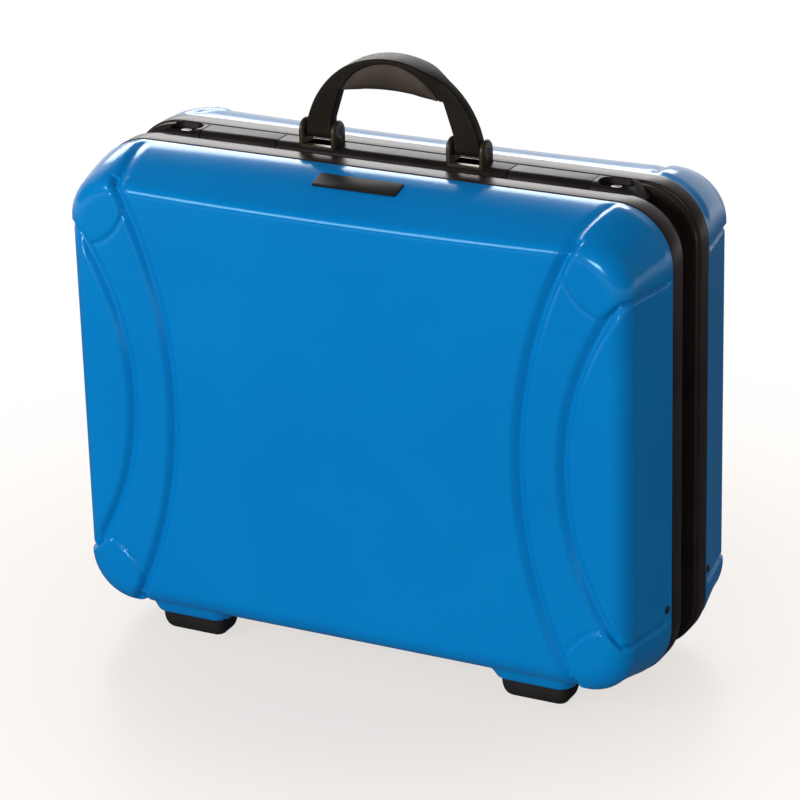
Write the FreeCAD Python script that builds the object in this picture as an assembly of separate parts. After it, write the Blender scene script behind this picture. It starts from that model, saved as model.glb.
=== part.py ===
import FreeCAD, Part
import math
import os
from FreeCAD import Vector

# A hard tool case standing on its feet: two moulded shells, each clamped in a drawn metal frame,
# hinged along the bottom and closed by two flap latches beside the folding handle on top.
# The lid is the half towards -Y, the base the half towards +Y, and the frames meet at Y = 0.

# Overall sizes of the closed frame and shells
case_width = 480.0
case_height = 376.0
case_corner = 45.0
ground_clearance = 13.0
half_depth = 99.0
parting_gap = 1.2
seat_gap = 0.1
moving_gap = 0.4
overrun = 5.0
join_tolerance = 0.001

# Moulded shells: wall, drawn-in edges and the joint with the frame
shell_wall = 4.8
shell_start = 34.0
rim_start = 20.0
rim_wall = 3.0
rim_inset = 1.5
side_draft = 8.0
side_round = 16.0
top_crown = 112.0
crease_run = 1.0
bottom_draft = 9.6
bottom_round = 20.0
front_corner = 33.0
crown_steps = 3
round_steps = 4

# Grooves pressed into each shell
groove_inner = 9.5
groove_outer = 6.5
groove_floor = 0.8
groove_depth = 2.4
waist_half = 147.2
waist_radius = 372.0
lens_half = 182.9
lens_radius = 228.0
lens_reach = 138.0
top_groove_start = 44.0
top_groove_x = 196.0
pad_reach_x = 222.0
pad_reach_z = 163.0
pad_radius = 41.5
pad_half_angle = 30.0
fine_groove_half = 2.0
fine_groove_depth = 0.9
side_line_reach = 134.0

# Frame section: n runs outwards from the case outline, d away from the parting plane
bead_proud = 0.6
bead_start = 17.5
bead_edge = 1.0
flange_wall = 2.0
ledge_drop = 1.0
channel_half = 12.5
channel_depth = 13.0
lid_floor_drop = 0.5
floor_wall = 2.2
web_wall = 2.0
inner_flange_wall = 1.8
inner_flange_reach = 45.0
slot_end = 19.5
seal_thickness = 1.0
seal_width = 1.8

# Rivets that hold shell and frame together
rivet_radius = 1.6
rivet_head_radius = 3.4
rivet_head_height = 1.3
rivet_depth = 40.0
rivet_side_z = 76.0
rivet_end_x = 172.0

# Rubber feet on moulded bosses
foot_x = 148.0
foot_depth = 69.0
foot_length = 56.0
foot_width = 30.0
foot_height = 17.0
foot_taper = 6.0
foot_edge = 5.0
foot_edge_steps = 3
foot_corner = 7.0
boss_margin = 3.0
boss_flare = 5.0
foot_screw_radius = 2.0
foot_screw_head = 4.0
foot_screw_length = 18.0
foot_screw_recess = 4.0
foot_screw_head_height = 2.6

# Plain plate let into the top slope of the lid
badge_length = 70.0
badge_width = 17.0
badge_thickness = 1.6
badge_sunk = 1.0
badge_depth = 61.0
badge_end = 2.5

# Butt hinges in the bottom channel
hinge_x = 120.0
hinge_length = 70.0
hinge_barrel = 4.0
hinge_pin_radius = 1.6
hinge_leaf = 1.6
hinge_leaf_reach = 11.6
hinge_leaf_start = 4.7
hinge_knuckle_gap = 0.3
hinge_rivet_radius = 1.4
hinge_rivet_head = 2.6
hinge_rivet_height = 1.0
hinge_rivet_spacing = 50.0
hinge_rivet_y = 8.2
hinge_knuckles = 5
hinge_max_angle = 95.0
press_gap = 0.02
running_gap = 0.06

# Lid stays: slotted arms between a pivot on the base frame and a stud on the lid frame
stay_radius = 50.0
stay_half_angle = 10.0
stay_stud_radius = 2.5
stay_collar_radius = 4.5
stay_head_thickness = 1.3
stay_arm_thickness = 2.0
stay_arm_width = 13.0
stay_slot_gap = 0.3
stay_standoff = 4.6

# Top bar: handle carrier in the middle, latch flaps and lock ends on each side
bar_front = 10.2
bar_rear = 12.2
bar_rise = 3.0
bar_crown = 7.0
bar_wall = 3.0
bar_seam_x = 97.0
flap_end_x = 164.0
lock_end_x = 205.0
seam_gap = 0.4

# Latch flaps, pins, claws, strikes and leaf springs
latch_pin_radius = 1.2
latch_pin_bite = 5.0
latch_pin_y = 8.9
latch_knuckle = 3.2
flap_bottom_drop = 8.0
flap_wall = 2.2
claw_length = 16.0
claw_thickness = 1.5
claw_beak = 1.2
claw_beak_height = 1.2
strike_length = 26.0
strike_width = 6.0
strike_plate = 1.2
strike_lip = 1.4
spring_length = 30.0
spring_width = 7.0
spring_leaf = 0.6
spring_bend_shares = (0.0, 0.35, 0.85, 1.0)

# Key locks in the bar ends
lock_x = 181.0
lock_y = 1.0
dish_length = 25.0
dish_width = 15.0
dish_depth = 4.5
dish_bevel = 1.6
plug_radius = 4.2
key_slot_length = 5.4
key_slot_width = 1.0
key_slot_depth = 3.0
plug_rise = 1.0
cam_length = 7.0
cam_width = 4.6
cam_thickness = 2.0
cam_pocket_radius = 8.0
cam_pocket_height = 3.4
lock_tail = 13.0
lock_tail_drop = 10.0
lock_tail_round = 8.0

# Carrying handle and its yokes
handle_y = 1.0
handle_pin_rise = 13.0
handle_half = 73.0
handle_rise = 78.0
handle_shoulder = 36.0
handle_leg = 22.0
handle_leg_thickness = 11.0
handle_grip_thickness = 22.0
handle_grip_half = 28.0
handle_gap_rise = 53.0
handle_gap_crown = 4.5
handle_gap_lean = 8.0
handle_edge = 2.6
grip_inset = 3.6
grip_half = 41.0
grip_seam = 0.15
handle_pin_radius = 2.4
yoke_ear = 4.3
yoke_leg_gap = 0.4
yoke_half_depth = 9.2
yoke_seat_drop = 5.0
yoke_base = 5.0
yoke_edge = 1.4

# Tool board in the lid, with rows of sewn pockets and push clips
board_half_x = 196.0
board_half_z = 146.0
board_corner = 22.0
board_thickness = 3.0
board_depth = 86.0
board_post_x = 120.0
board_post_z = 134.0
board_post_radius = 6.0
clip_radius = 2.4
clip_head = 5.0
clip_head_height = 1.8
clip_bite = 6.0
pocket_rows = 2
pocket_row_pitch = 138.0
pocket_height = 104.0
pocket_count = 6
pocket_width = 58.0
pocket_cloth = 2.0
pocket_crown = 4.5

# Divided tray in the base
tray_half_x = 206.0
tray_half_z = 152.0
tray_rim_depth = 30.0
tray_wall = 2.6
tray_lip = 5.0
tray_corner = 9.0
tray_split_share = 0.46
tray_upper_shares = (0.36,)
tray_lower_shares = (0.3, 0.65)

# Levels worked out from the sizes above
half_width = case_width / 2
frame_bottom = ground_clearance
frame_top = ground_clearance + case_height
mid_z = ground_clearance + case_height / 2
hinge_z = frame_bottom + channel_depth - hinge_barrel
bar_floor = frame_top - channel_depth
bar_top = frame_top + bar_rise
pin_z = frame_top + handle_pin_rise
front_d = half_depth
crease_depth = front_d - crease_run
along_x = Vector(1, 0, 0)
along_y = Vector(0, 1, 0)
along_z = Vector(0, 0, 1)


def mirror_x(shape):
    return shape.mirror(Vector(), along_x)


def mirror_y(shape):
    return shape.mirror(Vector(), along_y)


def save(name, *solids):
    shape = solids[0] if len(solids) == 1 else Part.makeCompound(list(solids))
    shape.exportStep("parts/" + name + ".step")


def save_pair(name, right):
    """The +X piece and its mirror image, as two nodes."""
    save(name + "_right", right)
    save(name + "_left", mirror_x(right))


def block(low, high):
    size = Vector(*high) - Vector(*low)
    return Part.makeBox(size.x, size.y, size.z, Vector(*low))


def rod(radius, start, end):
    run = Vector(*end) - Vector(*start)
    return Part.makeCylinder(radius, run.Length, Vector(*start), run)


def rounded_wire(points, radii, place):
    """A closed outline through 2-D points, with an arc of the given radius at each corner."""
    edges = []
    count = len(points)
    corners = []
    for i, radius in enumerate(radii):
        here = Vector(*points[i], 0)
        back = (Vector(*points[i - 1], 0) - here).normalize()
        ahead = (Vector(*points[(i + 1) % count], 0) - here).normalize()
        half_turn = back.getAngle(ahead) / 2
        if radius == 0:
            corners.append((here, None, here))
            continue
        reach = radius / math.tan(half_turn)
        centre = here + (back + ahead).normalize() * (radius / math.sin(half_turn))
        middle = centre + (here - centre).normalize() * radius
        corners.append((here + back * reach, middle, here + ahead * reach))
    for i, (start, middle, end) in enumerate(corners):
        if middle:
            edges.append(Part.Arc(place(start), place(middle), place(end)).toShape())
        following = corners[(i + 1) % count][0]
        if not following.isEqual(end, join_tolerance):
            edges.append(Part.LineSegment(place(end), place(following)).toShape())
    return Part.Wire(edges)


def rectangle_points(low_a, low_b, high_a, high_b):
    return [(low_a, low_b), (high_a, low_b), (high_a, high_b), (low_a, high_b)]


def slab(points, radii, place, direction):
    return Part.Face(rounded_wire(points, radii, place)).extrude(direction)


def in_front_view(depth):
    """Places outline points (x, z) on the plane at this depth in the lid."""
    return lambda p: Vector(p.x, -depth, p.y)


def in_side_view(x):
    """Places outline points (y, z) on the plane at this x."""
    return lambda p: Vector(x, p.x, p.y)


def in_plan_view(z):
    return lambda p: Vector(p.x, p.y, z)


# Shells


def side_inset(depth):
    """How far the side wall has drawn in from the case outline at this depth."""
    edge = front_d - side_round
    if depth <= edge:
        return side_draft * (depth - shell_start) / (edge - shell_start)
    return side_draft + side_round - math.sqrt(side_round**2 - (depth - edge) ** 2)


def bottom_inset(depth):
    edge = front_d - bottom_round
    if depth <= edge:
        return bottom_draft * (depth - shell_start) / (edge - shell_start)
    return bottom_draft + bottom_round - math.sqrt(bottom_round**2 - (depth - edge) ** 2)


def top_inset(depth):
    """The crowned top wall, which ends in a tight round crease above the flat front panel."""
    lean = math.asin((crease_depth - shell_start) / top_crown)
    reach = min(depth, crease_depth) - shell_start
    drop = top_crown - math.sqrt(top_crown**2 - reach**2)
    crease = crease_run / (1 - math.sin(lean))
    beyond = math.sin(lean) + max(0, depth - crease_depth) / crease
    return drop + crease * (math.cos(lean) - math.sqrt(max(0, 1 - beyond**2)))


def corner_radius(depth):
    share = max(0, (depth - shell_start) / (front_d - shell_start))
    return case_corner + (front_corner - case_corner) * share**2


def shell_section(depth, wall):
    """Outline of the shell at one depth, drawn in by a wall all round and from the front."""
    run = (front_d - wall - shell_start) / (front_d - shell_start)
    half = half_width - side_inset(depth) - wall
    low = frame_bottom + bottom_inset(depth) + wall
    high = frame_top - top_inset(depth) - wall
    radius = corner_radius(depth) - wall
    place = in_front_view(shell_start + (depth - shell_start) * run)
    return rounded_wire(rectangle_points(-half, low, half, high), [radius] * 4, place)


def shell_form(wall):
    """Ruled loft through the outlines, closest together where the side rounds into the front."""
    edge = front_d - side_round
    depths = [shell_start + (edge - shell_start) * i / crown_steps for i in range(crown_steps)]
    turns = [math.radians(90) * i / round_steps for i in range(round_steps + 1)]
    depths += [edge + side_round * math.sin(turn) for turn in turns]
    depths.insert(-1, crease_depth)
    return Part.makeLoft([shell_section(d, wall) for d in depths], True, True)


def outline_slab(inset, start, end):
    """A plate with the case outline, drawn in by an inset, between two depths of the lid."""
    points = rectangle_points(
        -half_width + inset, frame_bottom + inset, half_width - inset, frame_top - inset
    )
    wire = rounded_wire(points, [case_corner - inset] * 4, in_front_view(start))
    return Part.Face(wire).extrude(-along_y * (end - start))


def groove_section(start, along, inward, inner, outer, floor, depth):
    """Outline across a groove at its start: sloped flanks, carried on above the surface."""
    across = inward.cross(along).normalize()
    rise_inner = inner + (inner - floor)
    rise_outer = outer + (outer - floor)
    corners = [
        start - across * rise_inner - inward * depth,
        start - across * floor + inward * depth,
        start + across * floor + inward * depth,
        start + across * rise_outer - inward * depth,
    ]
    return Part.Face(Part.makePolygon(corners + corners[:1]))


def pressed_arc(points, inward, sizes):
    """Cutter for a groove along the arc through three points of a surface."""
    arc = Part.Arc(*points).toShape()
    centre, axis = arc.Curve.Center, arc.Curve.Axis
    turn = math.degrees(arc.LastParameter - arc.FirstParameter)
    along = axis.cross(points[0] - centre).normalize()
    section = groove_section(points[0], along, inward, *sizes)
    return section.revolve(centre, axis, turn)


def front_arc(centre, first, radius, low, high):
    """Three points of an arc on the front panel, at angles from its first direction."""

    def point(angle):
        turn = math.radians(angle)
        up = along_y.cross(first)
        return centre + first * (radius * math.cos(turn)) + up * (radius * math.sin(turn))

    return point(low), point((low + high) / 2), point(high)


def crown_point(x, depth):
    return Vector(x, -depth, frame_top - top_inset(depth))


def side_round_point(angle, z):
    """A point on the rounded edge between front and side, turned from the front."""
    turn = math.radians(angle)
    x = half_width - side_draft - side_round * (1 - math.sin(turn))
    return Vector(x, -front_d + side_round * (1 - math.cos(turn)), z)


def bottom_round_point(x, angle):
    turn = math.radians(angle)
    z = frame_bottom + bottom_draft + bottom_round * (1 - math.sin(turn))
    return Vector(x, -front_d + bottom_round * (1 - math.cos(turn)), z)


def groove_cutters():
    """Cutters for the grooves of the +X half: waist, lens, corner pads and side lines."""
    wide = (groove_inner, groove_outer, groove_floor, groove_depth)
    turned = (groove_outer, groove_inner, groove_floor, groove_depth)
    fine = (fine_groove_half, fine_groove_half, 0, fine_groove_depth)
    crease_z = frame_top - top_inset(crease_depth)
    round_z = frame_bottom + bottom_draft + bottom_round

    high = math.degrees(math.asin((crease_z + groove_depth - mid_z) / waist_radius))
    low = math.degrees(math.asin((round_z - mid_z) / waist_radius))
    centre = Vector(waist_half + waist_radius, -front_d, mid_z)
    waist = front_arc(centre, -along_x, waist_radius, low, high)
    bars = [pressed_arc(waist, along_y, wide)]

    top_run = [top_groove_start, (top_groove_start + crease_depth) / 2, crease_depth]
    lean = (waist[2].x - top_groove_x) / (crease_depth - top_groove_start)
    over = [crown_point(top_groove_x + lean * (d - top_groove_start), d) for d in top_run]
    bars.append(pressed_arc(over, -along_z, turned))

    quarter = (0, 90 / 2, 90)
    under = [bottom_round_point(waist[0].x, angle) for angle in quarter]
    bars.append(pressed_arc(under, along_y, turned))

    swing = math.degrees(math.asin(lens_reach / lens_radius))
    centre = Vector(lens_half + lens_radius, -front_d, mid_z)
    lens = front_arc(centre, -along_x, lens_radius, -swing, swing)
    bars.append(pressed_arc(lens, along_y, wide))

    for way in (-1, 1):
        pad = Vector(pad_reach_x, -front_d, mid_z + way * pad_reach_z)
        first = Vector(-math.sqrt(1 / 2), 0, -way * math.sqrt(1 / 2))
        arc = front_arc(pad, first, pad_radius, -pad_half_angle, pad_half_angle)
        bars.append(pressed_arc(arc, along_y, fine))
        z = mid_z + way * side_line_reach
        turn = [side_round_point(angle, z) for angle in quarter]
        bars.append(pressed_arc(turn, along_y, fine))
        wall = Vector(half_width - side_inset(rivet_depth), -rivet_depth, z) - turn[2]
        line = groove_section(turn[2], Vector(wall).normalize(), -along_x, *fine)
        bars.append(line.extrude(wall))
    return bars


def foot_boss():
    """Moulded pad under the bottom wall that carries a rubber foot."""

    def section(margin, z):
        half_x = foot_length / 2 + margin
        half_y = foot_width / 2 + margin
        points = rectangle_points(
            foot_x - half_x, -foot_depth - half_y, foot_x + half_x, -foot_depth + half_y
        )
        return rounded_wire(points, [foot_corner + margin] * 4, in_plan_view(z))

    front = foot_depth + foot_width / 2 + boss_margin + boss_flare
    top = frame_bottom + bottom_inset(front) + seat_gap
    return Part.makeLoft(
        [section(boss_margin, foot_height), section(boss_margin + boss_flare, top)], True
    )


def badge_place(shape):
    """Lays a piece drawn at the origin on the top slope, at the badge's place."""
    slope = math.degrees(math.asin((badge_depth - shell_start) / top_crown))
    turned = shape.copy()
    turned.rotate(Vector(), along_x, slope)
    turned.translate(Vector(0, -badge_depth, frame_top - top_inset(badge_depth)))
    return turned


def badge_blank(margin, low, high):
    half_x = badge_length / 2 + margin
    half_y = badge_width / 2 + margin
    points = rectangle_points(-half_x, -half_y, half_x, half_y)
    radii = [badge_end + margin] * 4
    return badge_place(slab(points, radii, in_plan_view(low), along_z * (high - low)))


def board_posts(margin, start, end):
    places = [(x, z) for x in (-1, 1) for z in (-1, 1)]
    return [
        rod(
            margin,
            (x * board_post_x, -start, mid_z + z * board_post_z),
            (x * board_post_x, -end, mid_z + z * board_post_z),
        )
        for x, z in places
    ]


def rivet_spots():
    """Where the shell is riveted to its frame: point on the case outline and outward direction."""
    spots = []
    for side in (-1, 1):
        spots.append((Vector(side * half_width, 0, rivet_side_z), along_x * side))
        spots.append((Vector(side * rivet_end_x, 0, frame_bottom), -along_z))
    return spots


def rivet_surface(spot, out):
    """The rivet's place on the shell's outer face."""
    inset = bottom_inset(rivet_depth) if out.z else side_inset(rivet_depth)
    return spot - out * inset - along_y * rivet_depth


def rivet_holes(radius):
    holes = []
    for spot, out in rivet_spots():
        seat = rivet_surface(spot, out)
        holes.append(rod(radius, seat + out * overrun, seat - out * (shell_wall + overrun)))
    return holes


def rivet_seats():
    """Spot faces that give the rivet heads a flat seat on the drafted walls."""
    seats = []
    for spot, out in rivet_spots():
        seat = rivet_surface(spot, out)
        seats.append(rod(rivet_head_radius + seat_gap, seat, seat + out * overrun))
    return seats


def shell():
    """The lid half: lofted form with its grooves, feet bosses, rim and smooth inside."""
    rim = outline_slab(rim_inset, rim_start, shell_start + rim_wall)
    bosses = [foot_boss(), mirror_x(foot_boss())]
    body = shell_form(0).multiFuse([rim] + bosses)
    bars = groove_cutters()
    body = body.cut(bars + [mirror_x(bar) for bar in bars])
    mouth = outline_slab(rim_inset + rim_wall, rim_start - overrun, inner_flange_reach + seat_gap)
    inside = shell_form(shell_wall).fuse(mouth)
    body = body.cut(inside)
    screws = [foot_screw_hole(), mirror_x(foot_screw_hole())]
    return body.cut(screws + rivet_holes(rivet_radius + seat_gap) + rivet_seats())


def lid_shell():
    posts = board_posts(board_post_radius, board_depth, front_d - shell_wall / 2)
    bores = board_posts(clip_radius + seat_gap, board_depth - overrun, board_depth + clip_bite)
    recess = badge_blank(seat_gap, -badge_sunk, overrun)
    return shell().multiFuse(posts).cut(bores + [recess])


# Frames


def frame_profile(floor_drop, floor_start):
    """Section of the lid frame as points (n, d), with its bead's edges taken off."""
    floor = -channel_depth - floor_drop
    inner = -flange_wall + bead_proud - rim_wall - 2 * seat_gap
    return [
        (bead_proud - bead_edge, shell_start),
        (bead_proud, shell_start - bead_edge),
        (bead_proud, bead_start + bead_edge),
        (bead_proud - bead_edge, bead_start),
        (-ledge_drop, bead_start),
        (-ledge_drop, channel_half),
        (floor, channel_half),
        (floor, floor_start),
        (floor - floor_wall, floor_start),
        (floor - floor_wall, channel_half + web_wall),
        (inner - inner_flange_wall, channel_half + web_wall),
        (inner - inner_flange_wall, inner_flange_reach),
        (inner, inner_flange_reach),
        (inner, slot_end),
        (bead_proud - flange_wall, slot_end),
        (bead_proud - flange_wall, shell_start),
    ]


def outline_path():
    """The case outline as a closed path in the parting plane, from the middle of the top."""
    half, corner = half_width, case_corner
    bend = corner * (1 - math.sqrt(0.5))
    top, low = frame_top, frame_bottom

    def point(x, z):
        return Vector(x, 0, z)

    right = [
        Part.LineSegment(point(0, top), point(half - corner, top)),
        Part.Arc(
            point(half - corner, top), point(half - bend, top - bend), point(half, top - corner)
        ),
        Part.LineSegment(point(half, top - corner), point(half, low + corner)),
        Part.Arc(
            point(half, low + corner), point(half - bend, low + bend), point(half - corner, low)
        ),
        Part.LineSegment(point(half - corner, low), point(-half + corner, low)),
        Part.Arc(
            point(corner - half, low), point(bend - half, low + bend), point(-half, low + corner)
        ),
        Part.LineSegment(point(-half, low + corner), point(-half, top - corner)),
        Part.Arc(
            point(-half, top - corner), point(bend - half, top - bend), point(corner - half, top)
        ),
        Part.LineSegment(point(corner - half, top), point(0, top)),
    ]
    return Part.Wire([edge.toShape() for edge in right])


def ring(profile):
    """A drawn section bent round the case outline."""
    corners = [Vector(0, -d, frame_top + n) for n, d in profile]
    wire = Part.makePolygon(corners + corners[:1])
    return outline_path().makePipeShell([wire], True, False)


def frame(floor_drop, floor_start):
    return ring(frame_profile(floor_drop, floor_start)).cut(rivet_holes(rivet_radius + seat_gap))


def frame_seal():
    """Rubber strip on the base frame's edge, which the lid frame closes against."""
    low = -channel_depth - (floor_wall + seal_width) / 2
    return ring(rectangle_points(low, 0, low + seal_width, seal_thickness))


def shell_rivets():
    """Rivets through the shell and the frame's inner flange, with a set head inside."""
    rivets = []
    length = rim_inset + rim_wall + inner_flange_wall + 2 * seat_gap
    for spot, out in rivet_spots():
        seat = rivet_surface(spot, out)
        inside = spot - along_y * rivet_depth - out * length
        shank = rod(rivet_radius, seat + out * seat_gap, inside - out * seat_gap)
        dome = rivet_head(rivet_head_radius, rivet_head_height, seat, out)
        upset = rivet_head(rivet_head_radius, rivet_head_height, inside, -out)
        rivets.append(shank.multiFuse([dome, upset]))
    return rivets


def rivet_head(radius, height, seat, out):
    """A low rivet head with drawn-in sides, on a seat and pointing outwards."""
    return Part.makeCone(radius, radius - height, height, seat + out * seat_gap, out)


# Feet


def foot_screw_hole():
    start = (foot_x, -foot_depth, foot_height - overrun)
    end = (foot_x, -foot_depth, foot_screw_recess + foot_screw_head_height + foot_screw_length)
    return rod(foot_screw_radius + seat_gap, start, end)


def foot():
    """Rubber foot with drawn-in sides, a rounded lower edge and a countersunk screw well."""

    def section(inset, z):
        half_x, half_y = foot_length / 2 - inset, foot_width / 2 - inset
        points = rectangle_points(
            foot_x - half_x, -foot_depth - half_y, foot_x + half_x, -foot_depth + half_y
        )
        return rounded_wire(points, [foot_corner - inset / 2] * 4, in_plan_view(z))

    sections = []
    for i in range(foot_edge_steps + 1):
        turn = math.radians(90) * i / foot_edge_steps
        inset = foot_taper + foot_edge * (1 - math.sin(turn))
        sections.append(section(inset, foot_edge * (1 - math.cos(turn))))
    sections.append(section(0, foot_height))
    body = Part.makeLoft(sections, True, True)
    well_top = foot_screw_recess + foot_screw_head_height
    centre = (foot_x, -foot_depth, -overrun)
    well = rod(foot_screw_head + seat_gap, centre, (foot_x, -foot_depth, well_top))
    hole = rod(foot_screw_radius + seat_gap, centre, (foot_x, -foot_depth, foot_height + overrun))
    return body.cut([well, hole])


def foot_screw():
    base = foot_screw_recess
    head_top = base + foot_screw_head_height
    head = rod(foot_screw_head, (foot_x, -foot_depth, base), (foot_x, -foot_depth, head_top))
    end = head_top + foot_screw_length
    shank = rod(foot_screw_radius, (foot_x, -foot_depth, head_top), (foot_x, -foot_depth, end))
    return head.fuse(shank)


# Hinges


def hinge_spans():
    """Knuckles of one hinge: start, end and whether the lid leaf carries it."""
    pitch = hinge_length / hinge_knuckles
    start = hinge_x - hinge_length / 2
    gap = hinge_knuckle_gap / 2
    return [
        (start + pitch * i + gap, start + pitch * (i + 1) - gap, i % 2 == 1)
        for i in range(hinge_knuckles)
    ]


def hinge_rivet_points():
    return [(hinge_x + s * hinge_rivet_spacing / 2, hinge_rivet_y) for s in (-1, 1)]


def hinge_leaf_piece(lid):
    """One leaf: a plate against the channel floor, with its knuckles rolled round the pin."""
    way = -1 if lid else 1
    drop = lid_floor_drop if lid else 0
    high = frame_bottom + channel_depth + drop
    low = high - hinge_leaf
    start, end = hinge_x - hinge_length / 2, hinge_x + hinge_length / 2
    reach = sorted((way * hinge_leaf_start, way * hinge_leaf_reach))
    leaf = block((start, reach[0], low), (end, reach[1], high))
    bore_gap = running_gap if lid else press_gap
    bores = []
    for first, last, on_lid in hinge_spans():
        if on_lid != lid:
            continue
        barrel = rod(hinge_barrel, (first, 0, hinge_z), (last, 0, hinge_z))
        bridge = sorted((0, way * hinge_leaf_start))
        lug = block((first, bridge[0], low), (last, bridge[1], hinge_z + hinge_barrel))
        leaf = leaf.fuse(barrel.fuse(lug))
    bores.append(rod(hinge_pin_radius + bore_gap, (start, 0, hinge_z), (end, 0, hinge_z)))
    for x, y in hinge_rivet_points():
        hole = rod(hinge_rivet_radius + seat_gap, (x, way * y, low), (x, way * y, high))
        bores.append(hole)
    return leaf.cut(bores).removeSplitter()


def hinge_pin():
    start, end = hinge_x - hinge_length / 2, hinge_x + hinge_length / 2
    return rod(hinge_pin_radius, (start, 0, hinge_z), (end, 0, hinge_z))


def hinge_rivet_set(lid):
    way = -1 if lid else 1
    drop = lid_floor_drop if lid else 0
    high = frame_bottom + channel_depth + drop
    rivets = []
    for side in (-1, 1):
        for x, y in hinge_rivet_points():
            seat = Vector(side * x, way * y, high - hinge_leaf)
            inside = Vector(side * x, way * y, high + floor_wall)
            shank = rod(hinge_rivet_radius, seat - along_z * seat_gap, inside + along_z * seat_gap)
            head = rivet_head(hinge_rivet_head, hinge_rivet_height, seat, -along_z)
            upset = rivet_head(hinge_rivet_head, hinge_rivet_height, inside, along_z)
            rivets.append(shank.multiFuse([head, upset]))
    return rivets


def hinge_rivet_holes(lid):
    way = -1 if lid else 1
    low = frame_bottom + channel_depth - overrun
    high = frame_bottom + channel_depth + lid_floor_drop + floor_wall + overrun
    radius = hinge_rivet_radius + seat_gap
    points = [(side * x, way * y) for side in (-1, 1) for x, y in hinge_rivet_points()]
    return [rod(radius, (x, y, low), (x, y, high)) for x, y in points]


# Lid stays


def stay_joint(way):
    """Pivot on the base (way 1) or stud on the lid (way -1), at equal distances from the hinge."""
    turn = math.radians(stay_half_angle)
    y = way * stay_radius * math.sin(turn)
    return Vector(0, y, hinge_z + stay_radius * math.cos(turn))


def stay_stud(way):
    """Shouldered stud riveted to the frame web, with a flat head over the arm."""
    drop = lid_floor_drop if way < 0 else 0
    web = half_width - channel_depth - drop - floor_wall
    arm_outer = half_width - channel_depth - lid_floor_drop - floor_wall - stay_standoff
    arm_inner = arm_outer - stay_arm_thickness
    centre = stay_joint(way)
    head = arm_inner - moving_gap

    def at(x):
        return (x, centre.y, centre.z)

    collar = rod(stay_collar_radius, at(web - seat_gap), at(arm_outer + moving_gap))
    shank = rod(stay_stud_radius, at(web), at(head - stay_head_thickness))
    cap = rod(stay_collar_radius, at(head), at(head - stay_head_thickness))
    return collar.multiFuse([shank, cap])


def stay_arm():
    """Slotted arm that turns half as far as the lid; the slot's end stops the lid."""
    pivot = stay_joint(1)
    turn = math.radians(stay_half_angle)
    open_turn = turn + math.radians(hinge_max_angle) / 2
    nearest = 2 * stay_radius * math.sin(turn)
    farthest = 2 * stay_radius * math.sin(open_turn)
    arm_outer = half_width - channel_depth - lid_floor_drop - floor_wall - stay_standoff
    half = stay_arm_width / 2
    slot_half = stay_stud_radius + stay_slot_gap
    end = farthest + slot_half + half
    thick = -along_x * stay_arm_thickness
    face = in_side_view(arm_outer)

    def bar(start, finish, reach):
        points = rectangle_points(pivot.y - finish, pivot.z - reach, pivot.y - start, pivot.z + reach)
        return slab(points, [reach - seat_gap / 2] * 4, face, thick)

    plate = bar(-half, end, half)
    slot = bar(nearest - slot_half, farthest + slot_half, slot_half)
    hole_start = Vector(arm_outer, pivot.y, pivot.z)
    hole = rod(stay_stud_radius + running_gap, hole_start, hole_start + thick)
    return plate.cut([slot, hole])


# Top bar


def bar_points(bottom):
    return [(-bar_front, bottom), (bar_rear, bottom), (bar_rear, bar_top), (-bar_front, bar_top)]


def bar_piece(start, end):
    """A stretch of the rounded bar, which stands on the base frame's channel floor."""
    radii = [0, 0, latch_knuckle, bar_crown]
    return slab(bar_points(bar_floor), radii, in_side_view(start), along_x * (end - start))


def latch_pin_z():
    return bar_top - latch_knuckle


def latch_pin_bore(start, end, gap):
    z = latch_pin_z()
    return rod(latch_pin_radius + gap, (start, latch_pin_y, z), (end, latch_pin_y, z))


def centre_bar():
    end = bar_seam_x - seam_gap / 2
    body = bar_piece(-end, end)
    hollow_end = end - bar_wall - latch_pin_bite
    hollow = block(
        (-hollow_end, -bar_front + bar_wall, bar_floor - overrun),
        (hollow_end, bar_rear - bar_wall, bar_top - yoke_seat_drop - bar_wall),
    )
    cuts = [hollow]
    seat_half = yoke_width() / 2 + seat_gap
    for side in (-1, 1):
        middle = side * yoke_middle()
        low = (middle - seat_half, -bar_front - overrun, bar_top - yoke_seat_drop)
        high = (middle + seat_half, bar_rear + overrun, bar_top + overrun)
        cuts.append(block(low, high))
        bite = sorted((side * (end - latch_pin_bite), side * (end + overrun)))
        cuts.append(latch_pin_bore(bite[0], bite[1], press_gap))
    return body.cut(cuts)


def latch_flap():
    """Hollow flap that lifts about a pin along its rear edge."""
    start, end = bar_seam_x + seam_gap / 2, flap_end_x - seam_gap / 2
    bottom = bar_top - latch_knuckle - flap_bottom_drop
    z = latch_pin_z()
    rear = latch_pin_y
    points = [
        (-bar_front, bottom),
        (rear - latch_knuckle, bottom),
        (rear - latch_knuckle, z - latch_knuckle),
        (rear + latch_knuckle, z - latch_knuckle),
        (rear + latch_knuckle, bar_top),
        (-bar_front, bar_top),
    ]
    nose = latch_knuckle - seat_gap
    radii = [0, 0, 0, nose, nose, bar_crown]
    body = slab(points, radii, in_side_view(start), along_x * (end - start))
    pocket = block(
        (start + flap_wall, -bar_front + flap_wall, bottom - overrun),
        (end - flap_wall, rear - latch_knuckle - flap_wall, bar_top - flap_wall),
    )
    return body.cut([pocket, latch_pin_bore(start, end, running_gap)])


def flap_middle():
    return (bar_seam_x + flap_end_x) / 2


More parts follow.
